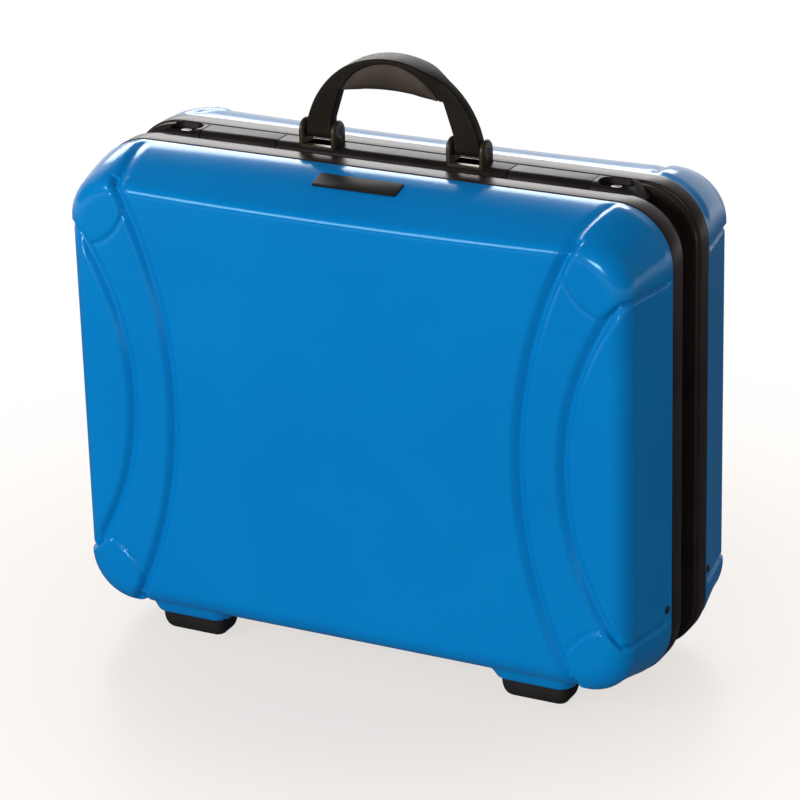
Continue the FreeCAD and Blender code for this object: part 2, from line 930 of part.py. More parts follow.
def latch_claw():
    """Steel claw fixed inside the flap's front wall, with a beak over the lid's strike."""
    middle = flap_middle()
    half = claw_length / 2
    face = -bar_front + flap_wall
    low = strike_top() + moving_gap
    points = [
        (face, low + claw_beak_height),
        (face - claw_beak, low + claw_beak_height),
        (face - claw_beak, low),
        (face + claw_thickness, low),
        (face + claw_thickness, bar_top - bar_crown),
        (face, bar_top - bar_crown),
    ]
    return slab(points, [0] * 6, in_side_view(middle - half), along_x * claw_length)


def strike_top():
    return bar_floor - lid_floor_drop + strike_plate + strike_lip


def strike():
    """Catch plate on the lid frame's channel floor, with a raised lip for the claw."""
    middle = flap_middle()
    half = strike_length / 2
    floor = bar_floor - lid_floor_drop
    front = -channel_half + seat_gap
    points = [
        (front, floor),
        (front + strike_width + strike_lip, floor),
        (front + strike_width + strike_lip, floor + strike_plate),
        (front + strike_width, floor + strike_plate),
        (front + strike_width, strike_top()),
        (front + strike_width - strike_lip, strike_top()),
        (front + strike_width - strike_lip, floor + strike_plate),
        (front, floor + strike_plate),
    ]
    return slab(points, [0] * 8, in_side_view(middle - half), along_x * strike_length)


def latch_spring():
    """Bent leaf on the channel floor that lifts the flap when it is released."""
    start = flap_middle() - spring_length / 2
    rise = bar_top - latch_knuckle - flap_bottom_drop - moving_gap - bar_floor
    heights = (0, 0, rise - spring_leaf, rise - spring_leaf)
    tops = [
        (start + spring_length * along, bar_floor + height + spring_leaf)
        for along, height in zip(spring_bend_shares, heights)
    ]
    lows = [(x, z - spring_leaf) for x, z in reversed(tops)]
    width = along_y * spring_width
    return slab(tops + lows, [0] * 8, lambda p: Vector(p.x, 0, p.y), width)


def latch_pin():
    start = bar_seam_x - seam_gap / 2 - latch_pin_bite + seat_gap
    end = flap_end_x + seam_gap / 2 + latch_pin_bite - seat_gap
    return latch_pin_bore(start, end, 0)


def lock_housing():
    """Bar end with a dished oval round the key plug and a tail that slopes to the channel."""
    start = flap_end_x + seam_gap / 2
    body = bar_piece(start, lock_end_x)
    tail = lock_end_x - lock_tail
    slope = [
        (tail, bar_top),
        (lock_end_x + overrun, bar_top - lock_tail_drop * (lock_tail + overrun) / lock_tail),
        (lock_end_x + overrun, bar_top + overrun),
        (tail, bar_top + overrun),
    ]
    deep = bar_front + bar_rear + 2 * overrun
    wedge = slab(
        slope, [0] * 4, lambda p: Vector(p.x, -bar_front - overrun, p.y), along_y * deep
    )
    ends = rectangle_points(start, -bar_front, lock_end_x, bar_rear)
    rounds = [0, lock_tail_round, lock_tail_round, 0]
    plan = slab(ends, rounds, in_plan_view(bar_floor), along_z * channel_depth * 2)
    floor = bar_top - dish_depth
    dish = Part.makeLoft([oval(0, floor), oval(dish_bevel, bar_top + seat_gap)], True, True)
    centre = (lock_x, lock_y, bar_floor - overrun)
    bore = rod(plug_radius + running_gap, centre, (lock_x, lock_y, bar_top))
    pocket = rod(cam_pocket_radius, centre, (lock_x, lock_y, bar_floor + cam_pocket_height))
    pin = latch_pin_bore(start - overrun, start + latch_pin_bite, press_gap)
    return body.common(plan).cut([wedge, dish, bore, pocket, pin])


def oval(margin, z):
    """Obround outline of the lock's finger dish."""
    half_x, half_y = dish_length / 2 + margin, dish_width / 2 + margin
    points = rectangle_points(lock_x - half_x, lock_y - half_y, lock_x + half_x, lock_y + half_y)
    return rounded_wire(points, [half_y - seat_gap / 2] * 4, in_plan_view(z))


def key_plug():
    """Lock cylinder in the dish, with the key slot across its face."""
    low = bar_floor + moving_gap + cam_thickness
    top = bar_top - dish_depth + plug_rise
    body = rod(plug_radius, (lock_x, lock_y, low), (lock_x, lock_y, top))
    half_x, half_y = key_slot_length / 2, key_slot_width / 2
    slot = block(
        (lock_x - half_x, lock_y - half_y, top - key_slot_depth),
        (lock_x + half_x, lock_y + half_y, top + overrun),
    )
    return body.cut(slot)


def lock_cam():
    """Flat cam on the plug's inner end, which blocks the flap when the key turns it."""
    low = bar_floor + moving_gap
    half = cam_width / 2
    points = rectangle_points(lock_x - cam_length, lock_y - half, lock_x + half, lock_y + half)
    radii = [half - seat_gap] * 4
    return slab(points, radii, in_plan_view(low), along_z * cam_thickness)


# Handle


def handle_gap_top():
    return frame_top + handle_gap_rise


def handle_outline():
    """Front view of the arch: straight legs, tight shoulders and a flatter crown."""
    low = pin_z - handle_leg_thickness / 2
    top = frame_top + handle_rise
    spring = pin_z
    half, shoulder = handle_half, handle_shoulder
    run = half - shoulder
    rise = top - spring
    crown = (run**2 + rise**2 - shoulder**2) / (2 * (rise - shoulder))
    lean = math.atan2(run, crown - rise)
    join = Vector(run + shoulder * math.sin(lean), 0, spring + shoulder * math.cos(lean))
    mid_turn = math.radians(90) / 2 + lean / 2
    middle = Vector(run + shoulder * math.sin(mid_turn), 0, spring + shoulder * math.cos(mid_turn))
    inner = half - handle_leg
    gap_corner = handle_gap_top() - handle_gap_crown

    def flip(p):
        return Vector(-p.x, 0, p.z)

    foot_in, foot_out = Vector(inner, 0, low), Vector(half, 0, low)
    springing = Vector(half, 0, spring)
    above_yoke = Vector(inner, 0, pin_z + yoke_half_depth + yoke_edge)
    under = Vector(inner - handle_gap_lean, 0, gap_corner)
    edges = [
        Part.LineSegment(foot_in, foot_out),
        Part.LineSegment(foot_out, springing),
        Part.Arc(springing, middle, join),
        Part.Arc(join, Vector(0, 0, top), flip(join)),
        Part.Arc(flip(join), flip(middle), flip(springing)),
        Part.LineSegment(flip(springing), flip(foot_out)),
        Part.LineSegment(flip(foot_out), flip(foot_in)),
        Part.LineSegment(flip(foot_in), flip(above_yoke)),
        Part.LineSegment(flip(above_yoke), flip(under)),
        Part.Arc(flip(under), Vector(0, 0, handle_gap_top()), under),
        Part.LineSegment(under, above_yoke),
        Part.LineSegment(above_yoke, foot_in),
    ]
    return Part.Wire([edge.toShape() for edge in edges])


def is_soft_edge(edge):
    """The long edges of the crown and of the grip's underside, front and back."""
    box = edge.BoundBox
    above_yoke = box.ZMin > pin_z + handle_leg_thickness / 2
    on_face = abs(edge.CenterOfMass.y - handle_y) > handle_leg_thickness / 4
    along = box.XLength > seat_gap
    inner_leg = box.ZMin < handle_gap_top() - handle_gap_crown - seat_gap and box.ZMax < handle_gap_top()
    return above_yoke and on_face and along and not inner_leg


def handle_form():
    """The whole handle: the arch cut to its plan, thick at the grip and thin at the legs."""
    thick = handle_grip_thickness
    arch = Part.Face(handle_outline()).extrude(along_y * thick)
    arch.translate(Vector(0, handle_y - thick / 2, 0))
    leg, grip = handle_leg_thickness / 2, thick / 2
    inner, outer = handle_grip_half, handle_half + overrun
    knee = handle_half - handle_leg - handle_gap_lean
    points = []
    for way in (-1, 1):
        near = [(-outer, leg), (-knee, leg), (-inner, grip)]
        side = near + [(-x, y) for x, y in reversed(near)]
        points += [(x * -way, handle_y + way * y) for x, y in side]
    bend = handle_leg
    radii = [0, bend, bend, bend, bend, 0] * 2
    plan = slab(points, radii, in_plan_view(frame_top), along_z * handle_rise * 2)
    body = arch.common(plan)
    feet = []
    for side in (-1, 1):
        low, high = sorted((side * (handle_half - handle_leg), side * handle_half))
        corner = block(
            (low, handle_y - leg - overrun, pin_z - leg - overrun),
            (high, handle_y + leg + overrun, pin_z),
        )
        feet.append(corner.cut(rod(leg, (low, handle_y, pin_z), (high, handle_y, pin_z))))
    body = body.cut(feet)
    body = body.makeFillet(handle_edge, [edge for edge in body.Edges if is_soft_edge(edge)])
    bore_half = handle_half + overrun
    bore = handle_pin_radius + running_gap
    return body.cut(rod(bore, (-bore_half, handle_y, pin_z), (bore_half, handle_y, pin_z)))


def grip_lens(seam):
    """Lens-shaped cutter for the soft grip under the crown of the arch."""
    top = frame_top + handle_rise - grip_inset - seam
    low = handle_gap_top() - handle_gap_crown
    half = grip_half - seam
    start, end = Vector(-half, 0, low), Vector(half, 0, low)
    below = low - overrun
    edges = [
        Part.Arc(start, Vector(0, 0, top), end),
        Part.LineSegment(end, Vector(half, 0, below)),
        Part.LineSegment(Vector(half, 0, below), Vector(-half, 0, below)),
        Part.LineSegment(Vector(-half, 0, below), start),
    ]
    wire = Part.Wire([edge.toShape() for edge in edges])
    lens = Part.Face(wire).extrude(along_y * handle_grip_thickness * 2)
    lens.translate(Vector(0, handle_y - handle_grip_thickness, 0))
    return lens


def yoke_middle():
    return handle_half - handle_leg / 2


def yoke_width():
    return handle_leg + 2 * (yoke_leg_gap + yoke_ear)


def handle_yoke():
    """Forked bracket on the bar: two ears with the handle's leg and pin between them."""
    centre = yoke_middle()
    half = yoke_width() / 2
    low = bar_top - yoke_seat_drop
    depth = yoke_half_depth
    points = rectangle_points(handle_y - depth, low, handle_y + depth, pin_z + depth)
    round_top = depth - seat_gap
    radii = [0, 0, round_top, round_top]
    body = slab(points, radii, in_side_view(centre - half), along_x * 2 * half)
    gap = handle_leg / 2 + yoke_leg_gap
    fork = block(
        (centre - gap, handle_y - depth - overrun, low + yoke_base),
        (centre + gap, handle_y + depth + overrun, pin_z + depth + overrun),
    )
    body = body.cut(fork)
    rims = [edge for edge in body.Edges if edge.BoundBox.ZMin > low + yoke_base]
    body = body.makeChamfer(yoke_edge, rims)
    bore = handle_pin_radius + press_gap
    return body.cut(rod(bore, (centre - half, handle_y, pin_z), (centre + half, handle_y, pin_z)))


def handle_pin():
    centre = yoke_middle()
    half = yoke_width() / 2 - seat_gap
    return rod(handle_pin_radius, (centre - half, handle_y, pin_z), (centre + half, handle_y, pin_z))


# Inside


def tool_board():
    points = rectangle_points(
        -board_half_x, mid_z - board_half_z, board_half_x, mid_z + board_half_z
    )
    place = in_front_view(board_depth)
    plate = slab(points, [board_corner] * 4, place, along_y * board_thickness)
    front, back = board_depth - board_thickness - overrun, board_depth + overrun
    holes = board_posts(clip_radius + seat_gap, front, back)
    return plate.cut(holes)


def board_clips():
    """Push clips through the board into the lid's posts."""
    face = board_depth - board_thickness
    heads = board_posts(clip_head, face - clip_head_height, face)
    shanks = board_posts(clip_radius, face - seat_gap, board_depth + clip_bite - seat_gap)
    return [head.fuse(shank) for head, shank in zip(heads, shanks)]


def tool_pockets():
    """Rows of soft pockets sewn to the board: a flat back with one low crown for each pocket."""
    face = -(board_depth - board_thickness)
    edge = face + pocket_cloth
    half_run = pocket_width * pocket_count / 2
    rows = []
    for row in range(pocket_rows):
        low = mid_z + (row - (pocket_rows - 1) / 2) * pocket_row_pitch - pocket_height / 2
        seams = [Vector(i * pocket_width - half_run, edge, low) for i in range(pocket_count + 1)]
        corners = [Vector(half_run, face, low), Vector(-half_run, face, low)]
        edges = []
        for start, end in zip(seams, seams[1:]):
            crown = (start + end) / 2 + along_y * pocket_crown
            edges.append(Part.Arc(start, crown, end).toShape())
        border = [seams[-1]] + corners + [seams[0]]
        for start, end in zip(border, border[1:]):
            edges.append(Part.LineSegment(start, end).toShape())
        rows.append(Part.Face(Part.Wire(edges)).extrude(along_z * pocket_height))
    return rows


def tray_floor_depth():
    return front_d - shell_wall - moving_gap


def tray_inside():
    """Half sizes of the tray's inside and the depth of its floor."""
    return tray_half_x - tray_wall, tray_half_z - tray_wall, tray_floor_depth() - tray_wall


def base_tray():
    """Moulded tray with an outturned lip, which lies in the base behind the seal."""

    def plate(margin, start, end):
        half_x, half_z = tray_half_x + margin, tray_half_z + margin
        points = rectangle_points(-half_x, mid_z - half_z, half_x, mid_z + half_z)
        radii = [tray_corner + tray_wall + margin] * 4
        return slab(points, radii, in_front_view(-start), along_y * (end - start))

    lip = plate(tray_lip, tray_rim_depth, tray_rim_depth + tray_wall)
    body = plate(0, tray_rim_depth, tray_floor_depth()).fuse(lip)
    return body.cut(plate(-tray_wall, tray_rim_depth - overrun, tray_floor_depth() - tray_wall))


def tray_dividers():
    """Dividers bonded into the tray: one along it, and three from it to the tray's walls."""
    half_x, half_z, floor = tray_inside()
    half = tray_wall / 2
    split = mid_z - half_z + 2 * half_z * tray_split_share

    def plate(low_x, low_z, high_x, high_z):
        end = floor - seat_gap
        return block((low_x, tray_rim_depth, low_z), (high_x, end, high_z))

    reach_x, reach_z = half_x - seat_gap, half_z - seat_gap
    plates = [plate(-reach_x, split - half, reach_x, split + half)]
    rows = (
        (tray_lower_shares, mid_z - reach_z, split - half - seat_gap),
        (tray_upper_shares, split + half + seat_gap, mid_z + reach_z),
    )
    for shares, low_z, high_z in rows:
        for share in shares:
            x = -half_x + 2 * half_x * share
            plates.append(plate(x - half, low_z, x + half, high_z))
    return plates


def main():
    os.makedirs("parts", exist_ok=True)

    save("lid_shell", lid_shell())
    save("base_shell", mirror_y(shell()))
    save("lid_frame", frame(lid_floor_drop, parting_gap).cut(hinge_rivet_holes(True)))
    save("base_frame", mirror_y(frame(0, 0)).cut(hinge_rivet_holes(False)))
    save("frame_seal", frame_seal())
    save("lid_rivets", *shell_rivets())
    save("base_rivets", *[mirror_y(rivet) for rivet in shell_rivets()])
    save("badge_plate", badge_blank(0, seat_gap - badge_sunk, badge_thickness - badge_sunk))

    save_pair("lid_foot", foot())
    save_pair("base_foot", mirror_y(foot()))
    save("lid_foot_screws", foot_screw(), mirror_x(foot_screw()))
    save("base_foot_screws", mirror_y(foot_screw()), mirror_x(mirror_y(foot_screw())))

    save_pair("hinge_leaf_lid", hinge_leaf_piece(True))
    save_pair("hinge_leaf_base", hinge_leaf_piece(False))
    save_pair("hinge_pin", hinge_pin())
    save("lid_hinge_rivets", *hinge_rivet_set(True))
    save("base_hinge_rivets", *hinge_rivet_set(False))

    save_pair("stay_arm", stay_arm())
    save_pair("stay_pivot", stay_stud(1))
    save_pair("stay_stud", stay_stud(-1))

    save("centre_bar", centre_bar())
    save_pair("latch_flap", latch_flap())
    save_pair("latch_claw", latch_claw())
    save_pair("latch_pin", latch_pin())
    save_pair("latch_spring", latch_spring())
    save_pair("latch_strike", strike())
    save_pair("lock_housing", lock_housing())
    save_pair("key_plug", key_plug())
    save_pair("lock_cam", lock_cam())

    handle = handle_form()
    save("handle_arch", handle.cut(grip_lens(0)))
    save("handle_grip", handle.common(grip_lens(grip_seam)))
    save_pair("handle_yoke", handle_yoke())
    save_pair("handle_pin", handle_pin())

    save("tool_board", tool_board())
    save("tool_pockets", *tool_pockets())
    save("board_clips", *board_clips())
    save("base_tray", base_tray())
    save("tray_dividers", *tray_dividers())


main()
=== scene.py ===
import math

import bmesh
import bpy
import numpy as np
from mathutils import Matrix, Vector


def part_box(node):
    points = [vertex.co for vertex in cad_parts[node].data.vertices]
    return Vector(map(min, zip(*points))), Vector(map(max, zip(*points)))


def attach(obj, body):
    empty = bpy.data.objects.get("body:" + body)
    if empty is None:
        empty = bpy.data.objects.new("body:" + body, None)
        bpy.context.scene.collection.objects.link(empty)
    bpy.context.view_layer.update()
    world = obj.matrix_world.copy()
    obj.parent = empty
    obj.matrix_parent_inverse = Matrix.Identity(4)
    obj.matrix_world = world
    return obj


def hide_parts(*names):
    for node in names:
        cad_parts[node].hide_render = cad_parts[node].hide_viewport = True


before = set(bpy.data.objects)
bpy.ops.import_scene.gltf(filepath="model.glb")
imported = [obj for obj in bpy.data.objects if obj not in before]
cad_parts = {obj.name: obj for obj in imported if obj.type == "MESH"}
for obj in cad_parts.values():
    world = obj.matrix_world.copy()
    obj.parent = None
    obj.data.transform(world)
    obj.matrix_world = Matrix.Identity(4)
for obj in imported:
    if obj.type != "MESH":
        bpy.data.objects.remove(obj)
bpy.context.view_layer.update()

# Lid and base shells: the two halves of the case, injection moulded in semi-gloss blue plastic
# 4.8 mm thick, with waist and lens grooves, raised corner pads and a boss over each foot.
# Each is clamped by its rim in the slot of its frame and riveted to the frame's inner flange.
mm = 0.001
bead_proud = 0.6 * mm
frame_low, frame_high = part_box("lid_frame")
half_width = frame_high.x - bead_proud
frame_bottom, frame_top = frame_low.z + bead_proud, frame_high.z - bead_proud
mid_z = (frame_bottom + frame_top) / 2
front_depth = -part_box("lid_shell")[0].y

shell_wall, shell_start, rim_start = 4.8 * mm, 34 * mm, 20 * mm
rim_inset, rim_wall = 1.5 * mm, 3 * mm
case_corner, front_corner = 45 * mm, 33 * mm
side_draft, side_round = 8 * mm, 16 * mm
bottom_draft, bottom_round = 9.6 * mm, 20 * mm
top_crown, crease_run, crease_sag = 130 * mm, 5.2 * mm, 3 * mm
crease_depth = front_depth - crease_run
sag_start, sag_full = 130 * mm, 165 * mm

run_steps, side_steps, corner_steps = 76, 58, 42
wall_steps, round_steps, crowding = 15, 24, 1.6
panel_steps, panel_reach, middle_shares = 92, 88 * mm, (0.15, 0.4, 0.65, 0.87)
inside_depths, inside_shares = (45 * mm, 60 * mm, 75 * mm), (1, 0.5, 0.01)

waist_half, waist_radius = 147.2 * mm, 372 * mm
lens_half, lens_radius, lens_reach, lens_fade = 182.9 * mm, 228 * mm, 136 * mm, (14 * mm, 2 * mm)
groove_inner, groove_outer, groove_depth = 9 * mm, 5 * mm, 4.2 * mm
floor_inner, floor_outer, deepest = -2.2 * mm, -0.4 * mm, 4.3 * mm
inner_curve, outer_curve = 1.35, 1.3
top_groove_x, top_groove_end, top_groove_fade = 196 * mm, 44 * mm, (37 * mm, 46 * mm)
top_groove_drop, top_groove_loss, top_groove_ease = 20 * mm, 0.7, 12 * mm
low_groove_shift, low_groove_lean, low_groove_fade = 3 * mm, 0.3, (66 * mm, 82 * mm)
pad_x, pad_z, pad_radius, pad_rise = 222 * mm, 163 * mm, 41.5 * mm, 1.2 * mm
pad_tip, pad_turn, pad_step, pad_fade = 8 * mm, 4 * mm, (-0.6 * mm, 1.6 * mm), (2 * mm, 10 * mm)
pad_clear = (-1 * mm, 3 * mm)
line_reach, line_half, line_depth, line_shift = 136 * mm, 2.8 * mm, 2.2 * mm, 0.8 * mm
foot_x, foot_depth, foot_height = 148 * mm, 69 * mm, 17 * mm
foot_half, foot_corner, boss_margin, boss_blend = (28 * mm, 15 * mm), 7 * mm, 3 * mm, 5 * mm
halves, sides = (("lid", -1), ("base", 1)), (("left", -1), ("right", 1))


class Shade:
    """A value in a material's node tree, on which sums and products add Math nodes."""

    def __init__(self, tree, socket=None):
        self.tree, self.socket = tree, socket

    def node(self, kind, settings=None, inputs=None, output=0):
        """Adds any other node: its type, its settings, and the values or links of its sockets."""
        made = self.tree.nodes.new(kind)
        for name, value in (settings or {}).items():
            setattr(made, name, value)
        for name, value in (inputs or {}).items():
            if isinstance(value, Shade):
                self.tree.links.new(value.socket, made.inputs[name])
            else:
                made.inputs[name].default_value = value
        return Shade(self.tree, made.outputs[output])

    def maths(self, operation, *values):
        return self.node("ShaderNodeMath", {"operation": operation}, dict(enumerate(values)))

    def __add__(self, other):
        return self.maths("ADD", self, other)

    __radd__ = __add__

    def __sub__(self, other):
        return self.maths("SUBTRACT", self, other)

    def __rsub__(self, other):
        return self.maths("SUBTRACT", other, self)

    def __mul__(self, other):
        return self.maths("MULTIPLY", self, other)

    __rmul__ = __mul__

    def ramp(self, low, high):
        """0 below low, 1 above high and a smooth step between."""
        settings = {"interpolation_type": "SMOOTHSTEP"}
        inputs = {"Value": self, "From Min": low, "From Max": high}
        return self.node("ShaderNodeMapRange", settings, inputs)

    def blend(self, first, second):
        """The first colour where this is 0 and the second where it is 1."""
        settings = {"data_type": "RGBA"}
        tones = {6: (*first, 1), 7: (*second, 1)}
        return self.node("ShaderNodeMix", settings, {"Factor": self, **tones}, output=2)


class Finish:
    """A material with one shader: constants on its sockets, and patterns on object coordinates."""

    def __init__(self, name, **constants):
        self.material = bpy.data.materials.new(name)
        self.material.use_nodes = True
        tree = self.material.node_tree
        self.shader = tree.nodes["Principled BSDF"]
        self.start = Shade(tree)
        self.place = self.start.node("ShaderNodeTexCoord", output="Object")
        for socket, value in constants.items():
            self.shader.inputs[socket.replace("_", " ")].default_value = value

    def feed(self, socket, value):
        self.start.tree.links.new(value.socket, self.shader.inputs[socket])

    def stretched(self, x, y, z):
        """Object coordinates scaled apart, for grain that runs one way."""
        settings = {"vector_type": "POINT"}
        inputs = {"Vector": self.place, "Scale": (x, y, z)}
        return self.start.node("ShaderNodeMapping", settings, inputs)

    def noise(self, scale, detail=2, place=None):
        inputs = {"Vector": place or self.place, "Scale": scale, "Detail": detail}
        return self.start.node("ShaderNodeTexNoise", {}, inputs)

    def cloud(self, scale, first, second, detail=3):
        """Feeds the base colour: two close tones in soft patches."""
        self.feed("Base Color", self.noise(scale, detail).ramp(0.3, 0.7).blend(first, second))

    def bump(self, height, depth, strength):
        """Feeds a height pattern to the surface normal, with its depth in metres."""
        inputs = {"Height": height, "Distance": depth, "Strength": strength}
        self.feed("Normal", self.start.node("ShaderNodeBump", {}, inputs))


def moulded_blue():
    """Smooth mould finish: faint flow marks in the colour, orange peel and slightly uneven gloss."""
    finish = Finish("moulded_blue", Specular_IOR_Level=0.42, Specular_Tint=(0.4, 0.8, 1, 1))
    finish.cloud(7, (0.0004, 0.195, 0.545), (0.0007, 0.212, 0.57))
    finish.feed("Roughness", 0.12 + 0.06 * finish.noise(35, 4))
    peel = finish.noise(420, 2) + 0.4 * finish.noise(1500, 1)
    finish.bump(peel, 0.00003, 0.5)
    return finish.material


def smooth_step(value, low, high):
    share = np.clip((value - low) / (high - low), 0, 1)
    return share * share * (3 - 2 * share)


def drafted_inset(depth, draft, edge_round):
    """How far a drafted wall with a round front edge lies inside the frame's outline."""
    edge = front_depth - edge_round
    lean = draft * np.clip((depth - shell_start) / (edge - shell_start), 0, 1)
    turn = np.clip((depth - edge) / edge_round, 0, 1)
    return lean + edge_round * (1 - np.sqrt(1 - turn**2))


def side_inset(depth):
    return drafted_inset(depth, side_draft, side_round)


def bottom_inset(depth):
    return drafted_inset(depth, bottom_draft, bottom_round)


def top_inset(depth):
    """The crowned top wall, which ends in a tight round crease above the front panel."""
    reach = np.clip(depth, shell_start, crease_depth) - shell_start
    lean = math.asin((crease_depth - shell_start) / top_crown)
    crease = crease_run / (1 - math.sin(lean))
    turn = np.clip(math.sin(lean) + np.maximum(depth - crease_depth, 0) / crease, 0, 1)
    drop = top_crown - np.sqrt(top_crown**2 - reach**2)
    return drop + crease * (math.cos(lean) - np.sqrt(1 - turn**2))


def outline(half, low, high, radius):
    """Points (x, z) round a rounded rectangle from the middle of its top, closer at the corners."""
    middle, run, rise = (low + high) / 2, half - radius, (high - low) / 2 - radius

    def crowd(steps):
        return 1 - (1 - np.linspace(0, 1, steps)) ** crowding

    turn = np.linspace(math.pi / 2, 0, corner_steps + 2)[1:-1]
    x = np.concatenate([run * crowd(run_steps), run + radius * np.cos(turn), np.full(side_steps, half)])
    z = np.concatenate(
        [np.full(run_steps, rise + radius), rise + radius * np.sin(turn), rise * crowd(side_steps)[::-1]]
    )
    right = np.concatenate([np.column_stack([x, z])[:-1], np.column_stack([x, -z])[:0:-1]])
    points = np.concatenate([right, -right])
    return points + [0, middle]


def shell_ring(depth, wall=0, inset=0):
    """The shell's outline at one depth as points (x, depth, z), drawn in by a wall and an inset."""
    share = np.clip((depth - shell_start) / (front_depth - shell_start), 0, 1)
    radius = case_corner + (front_corner - case_corner) * share**2 - wall
    radius *= 1 - inset / panel_reach / 2
    low = frame_bottom + bottom_inset(depth) + wall + inset
    high = frame_top - top_inset(depth) - wall - inset
    ring = outline(half_width - side_inset(depth) - wall - inset, low, high, radius)
    depths = np.full(len(ring), depth)
    return np.column_stack([ring[:, 0], depths, ring[:, 1]])


def groove(across, depth):
    """Depth of a pressed groove: a long soft flank inside, a narrow floor and a shorter flank outside."""
    inner = np.clip((across + groove_inner) / (groove_inner + floor_inner), 0, 1) ** inner_curve
    outer = np.clip((groove_outer - across) / (groove_outer - floor_outer), 0, 1) ** outer_curve
    return depth * np.minimum(inner, outer)


def shell_relief(points):
    """How far each point of the outer face stands proud of the plain form, in metres."""
    x, depth, rise = np.abs(points[..., 0]), points[..., 1], points[..., 2] - mid_z
    on_wall = depth < crease_depth - crease_run
    waist_centre, lens_centre = waist_half + waist_radius, lens_half + lens_radius

    waist = waist_radius - np.hypot(x - waist_centre, rise)
    crease_rise = frame_top - top_groove_drop - mid_z
    crease_x = waist_centre - math.sqrt(waist_radius**2 - crease_rise**2)
    top_x = crease_x + (top_groove_x - crease_x) * (crease_depth - depth) / (crease_depth - top_groove_end)
    low_x = crease_x - low_groove_shift + (crease_depth - depth) * low_groove_lean
    waist = np.where(on_wall & (rise > 0), x - top_x, waist)
    waist = np.where(on_wall & (rise < 0), x - low_x, waist)
    end = np.where(rise > 0, smooth_step(depth, *top_groove_fade), smooth_step(depth, *low_groove_fade))
    wall_share = 1 - top_groove_loss * smooth_step(crease_depth - depth, 0, top_groove_ease)
    relief = -groove(waist, groove_depth * end * wall_share)

    lens = lens_radius - np.hypot(x - lens_centre, rise)
    tip = 1 - smooth_step(np.abs(rise), lens_reach - lens_fade[0], lens_reach + lens_fade[1])
    relief -= groove(lens, groove_depth * tip) * (depth > front_depth - side_round)

    inside = pad_radius - np.hypot(x - pad_x, np.abs(rise) - pad_z)
    tip_x = pad_x - pad_tip
    foot = pad_z - math.sqrt(pad_radius**2 - (pad_x - tip_x) ** 2)
    edge = np.interp(x, [tip_x, pad_x + pad_turn], [foot, line_reach])
    inside = np.where(x > tip_x, np.abs(rise) - edge, inside)
    near_frame = smooth_step(depth - shell_start, *pad_fade)
    shown = smooth_step(waist, *pad_clear) * near_frame
    relief += pad_rise * smooth_step(inside, *pad_step) * shown
    line = np.clip(1 - np.abs(inside + line_shift) / line_half, 0, 1)
    strength = np.where(x > tip_x, line_depth, line_depth / 3)
    return np.maximum(relief - strength * line * shown, -deepest)


def shell_points():
    """Rings of points from the middle of the front panel over the wall and rim to the inside."""
    turns = np.linspace(math.pi / 2, 0, round_steps + 1)[1:]
    edge = front_depth - side_round
    rounds = [edge + side_round * math.sin(turn) for turn in turns]
    wall = np.linspace(edge, shell_start, wall_steps + 1)[1:]
    insets = np.linspace(panel_reach, 0, panel_steps)
    panel = [shell_ring(front_depth, 0, inset) for inset in insets]
    centre = np.array([0, front_depth, mid_z])
    middle = [centre + (panel[0] - centre) * share for share in middle_shares]
    outer = np.array(middle + panel + [shell_ring(depth) for depth in [*rounds, *wall]])

    x, depth, rise = outer[..., 0], outer[..., 1], outer[..., 2] - mid_z
    bow = np.clip(1 - (x / top_groove_x) ** 2, 0, 1) * smooth_step(rise, sag_start, sag_full)
    outer[..., 2] -= crease_sag * bow * smooth_step(depth, shell_start, front_depth)

    along = np.roll(outer, -1, axis=1) - np.roll(outer, 1, axis=1)
    across = np.gradient(outer, axis=0)
    normals = np.cross(across, along)
    normals /= np.maximum(np.linalg.norm(normals, axis=2, keepdims=True), 1e-12)
    outer = outer + normals * shell_relief(outer)[..., None]

    x, depth, z = np.abs(outer[..., 0]), outer[..., 1], outer[..., 2]
    corner = foot_corner + boss_margin
    over_x = np.abs(x - foot_x) - foot_half[0] + foot_corner
    over_y = np.abs(depth - foot_depth) - foot_half[1] + foot_corner
    over = np.hypot(np.maximum(over_x, 0), np.maximum(over_y, 0)) - corner
    boss = (1 - smooth_step(over, 0, boss_blend)) * (z < mid_z)
    outer[..., 2] = z - boss * np.maximum(z - foot_height, 0)

    rim_insets = (rim_inset, rim_inset, rim_inset + rim_wall)
    rim = [shell_ring(shell_start, inset) for inset in rim_insets]
    for ring in rim[1:]:
        ring[:, 1] = rim_start
    inner = [shell_ring(depth, shell_wall) for depth in (*inside_depths, *rounds[::-1])]
    for ring in inner:
        ring[:, 1] = np.minimum(ring[:, 1], front_depth - shell_wall)
    back = shell_ring(front_depth, shell_wall)
    back[:, 1] = front_depth - shell_wall
    centre = np.array([0, front_depth - shell_wall, mid_z])
    floor = [centre + (back - centre) * share for share in inside_shares]
    return np.concatenate([outer, np.array(rim + inner + floor)])


def ring_faces(rings, count):
    """Quads between rings of points, with both ends closed."""
    first = np.arange(count)
    after = (first + 1) % count
    faces = []
    for ring in range(rings - 1):
        low, high = ring * count, (ring + 1) * count
        faces += np.column_stack([low + first, low + after, high + after, high + first]).tolist()
    last = (rings - 1) * count
    return faces + [first[::-1].tolist(), (last + first).tolist()]


def add_object(name, data):
    made = bpy.data.objects.new(name, data)
    bpy.context.scene.collection.objects.link(made)
    return made


def make_piece(name, points, faces, material, sharp=35):
    """A mesh object with its normals outwards, smooth up to a sharp angle in degrees."""
    mesh = bpy.data.meshes.new(name)
    mesh.from_pydata([tuple(point) for point in points], [], faces)
    work = bmesh.new()
    work.from_mesh(mesh)
    bmesh.ops.recalc_face_normals(work, faces=work.faces)
    work.to_mesh(mesh)
    work.free()
    mesh.shade_smooth()
    mesh.set_sharp_from_angle(angle=math.radians(sharp))
    mesh.materials.append(material)
    return add_object(name, mesh)


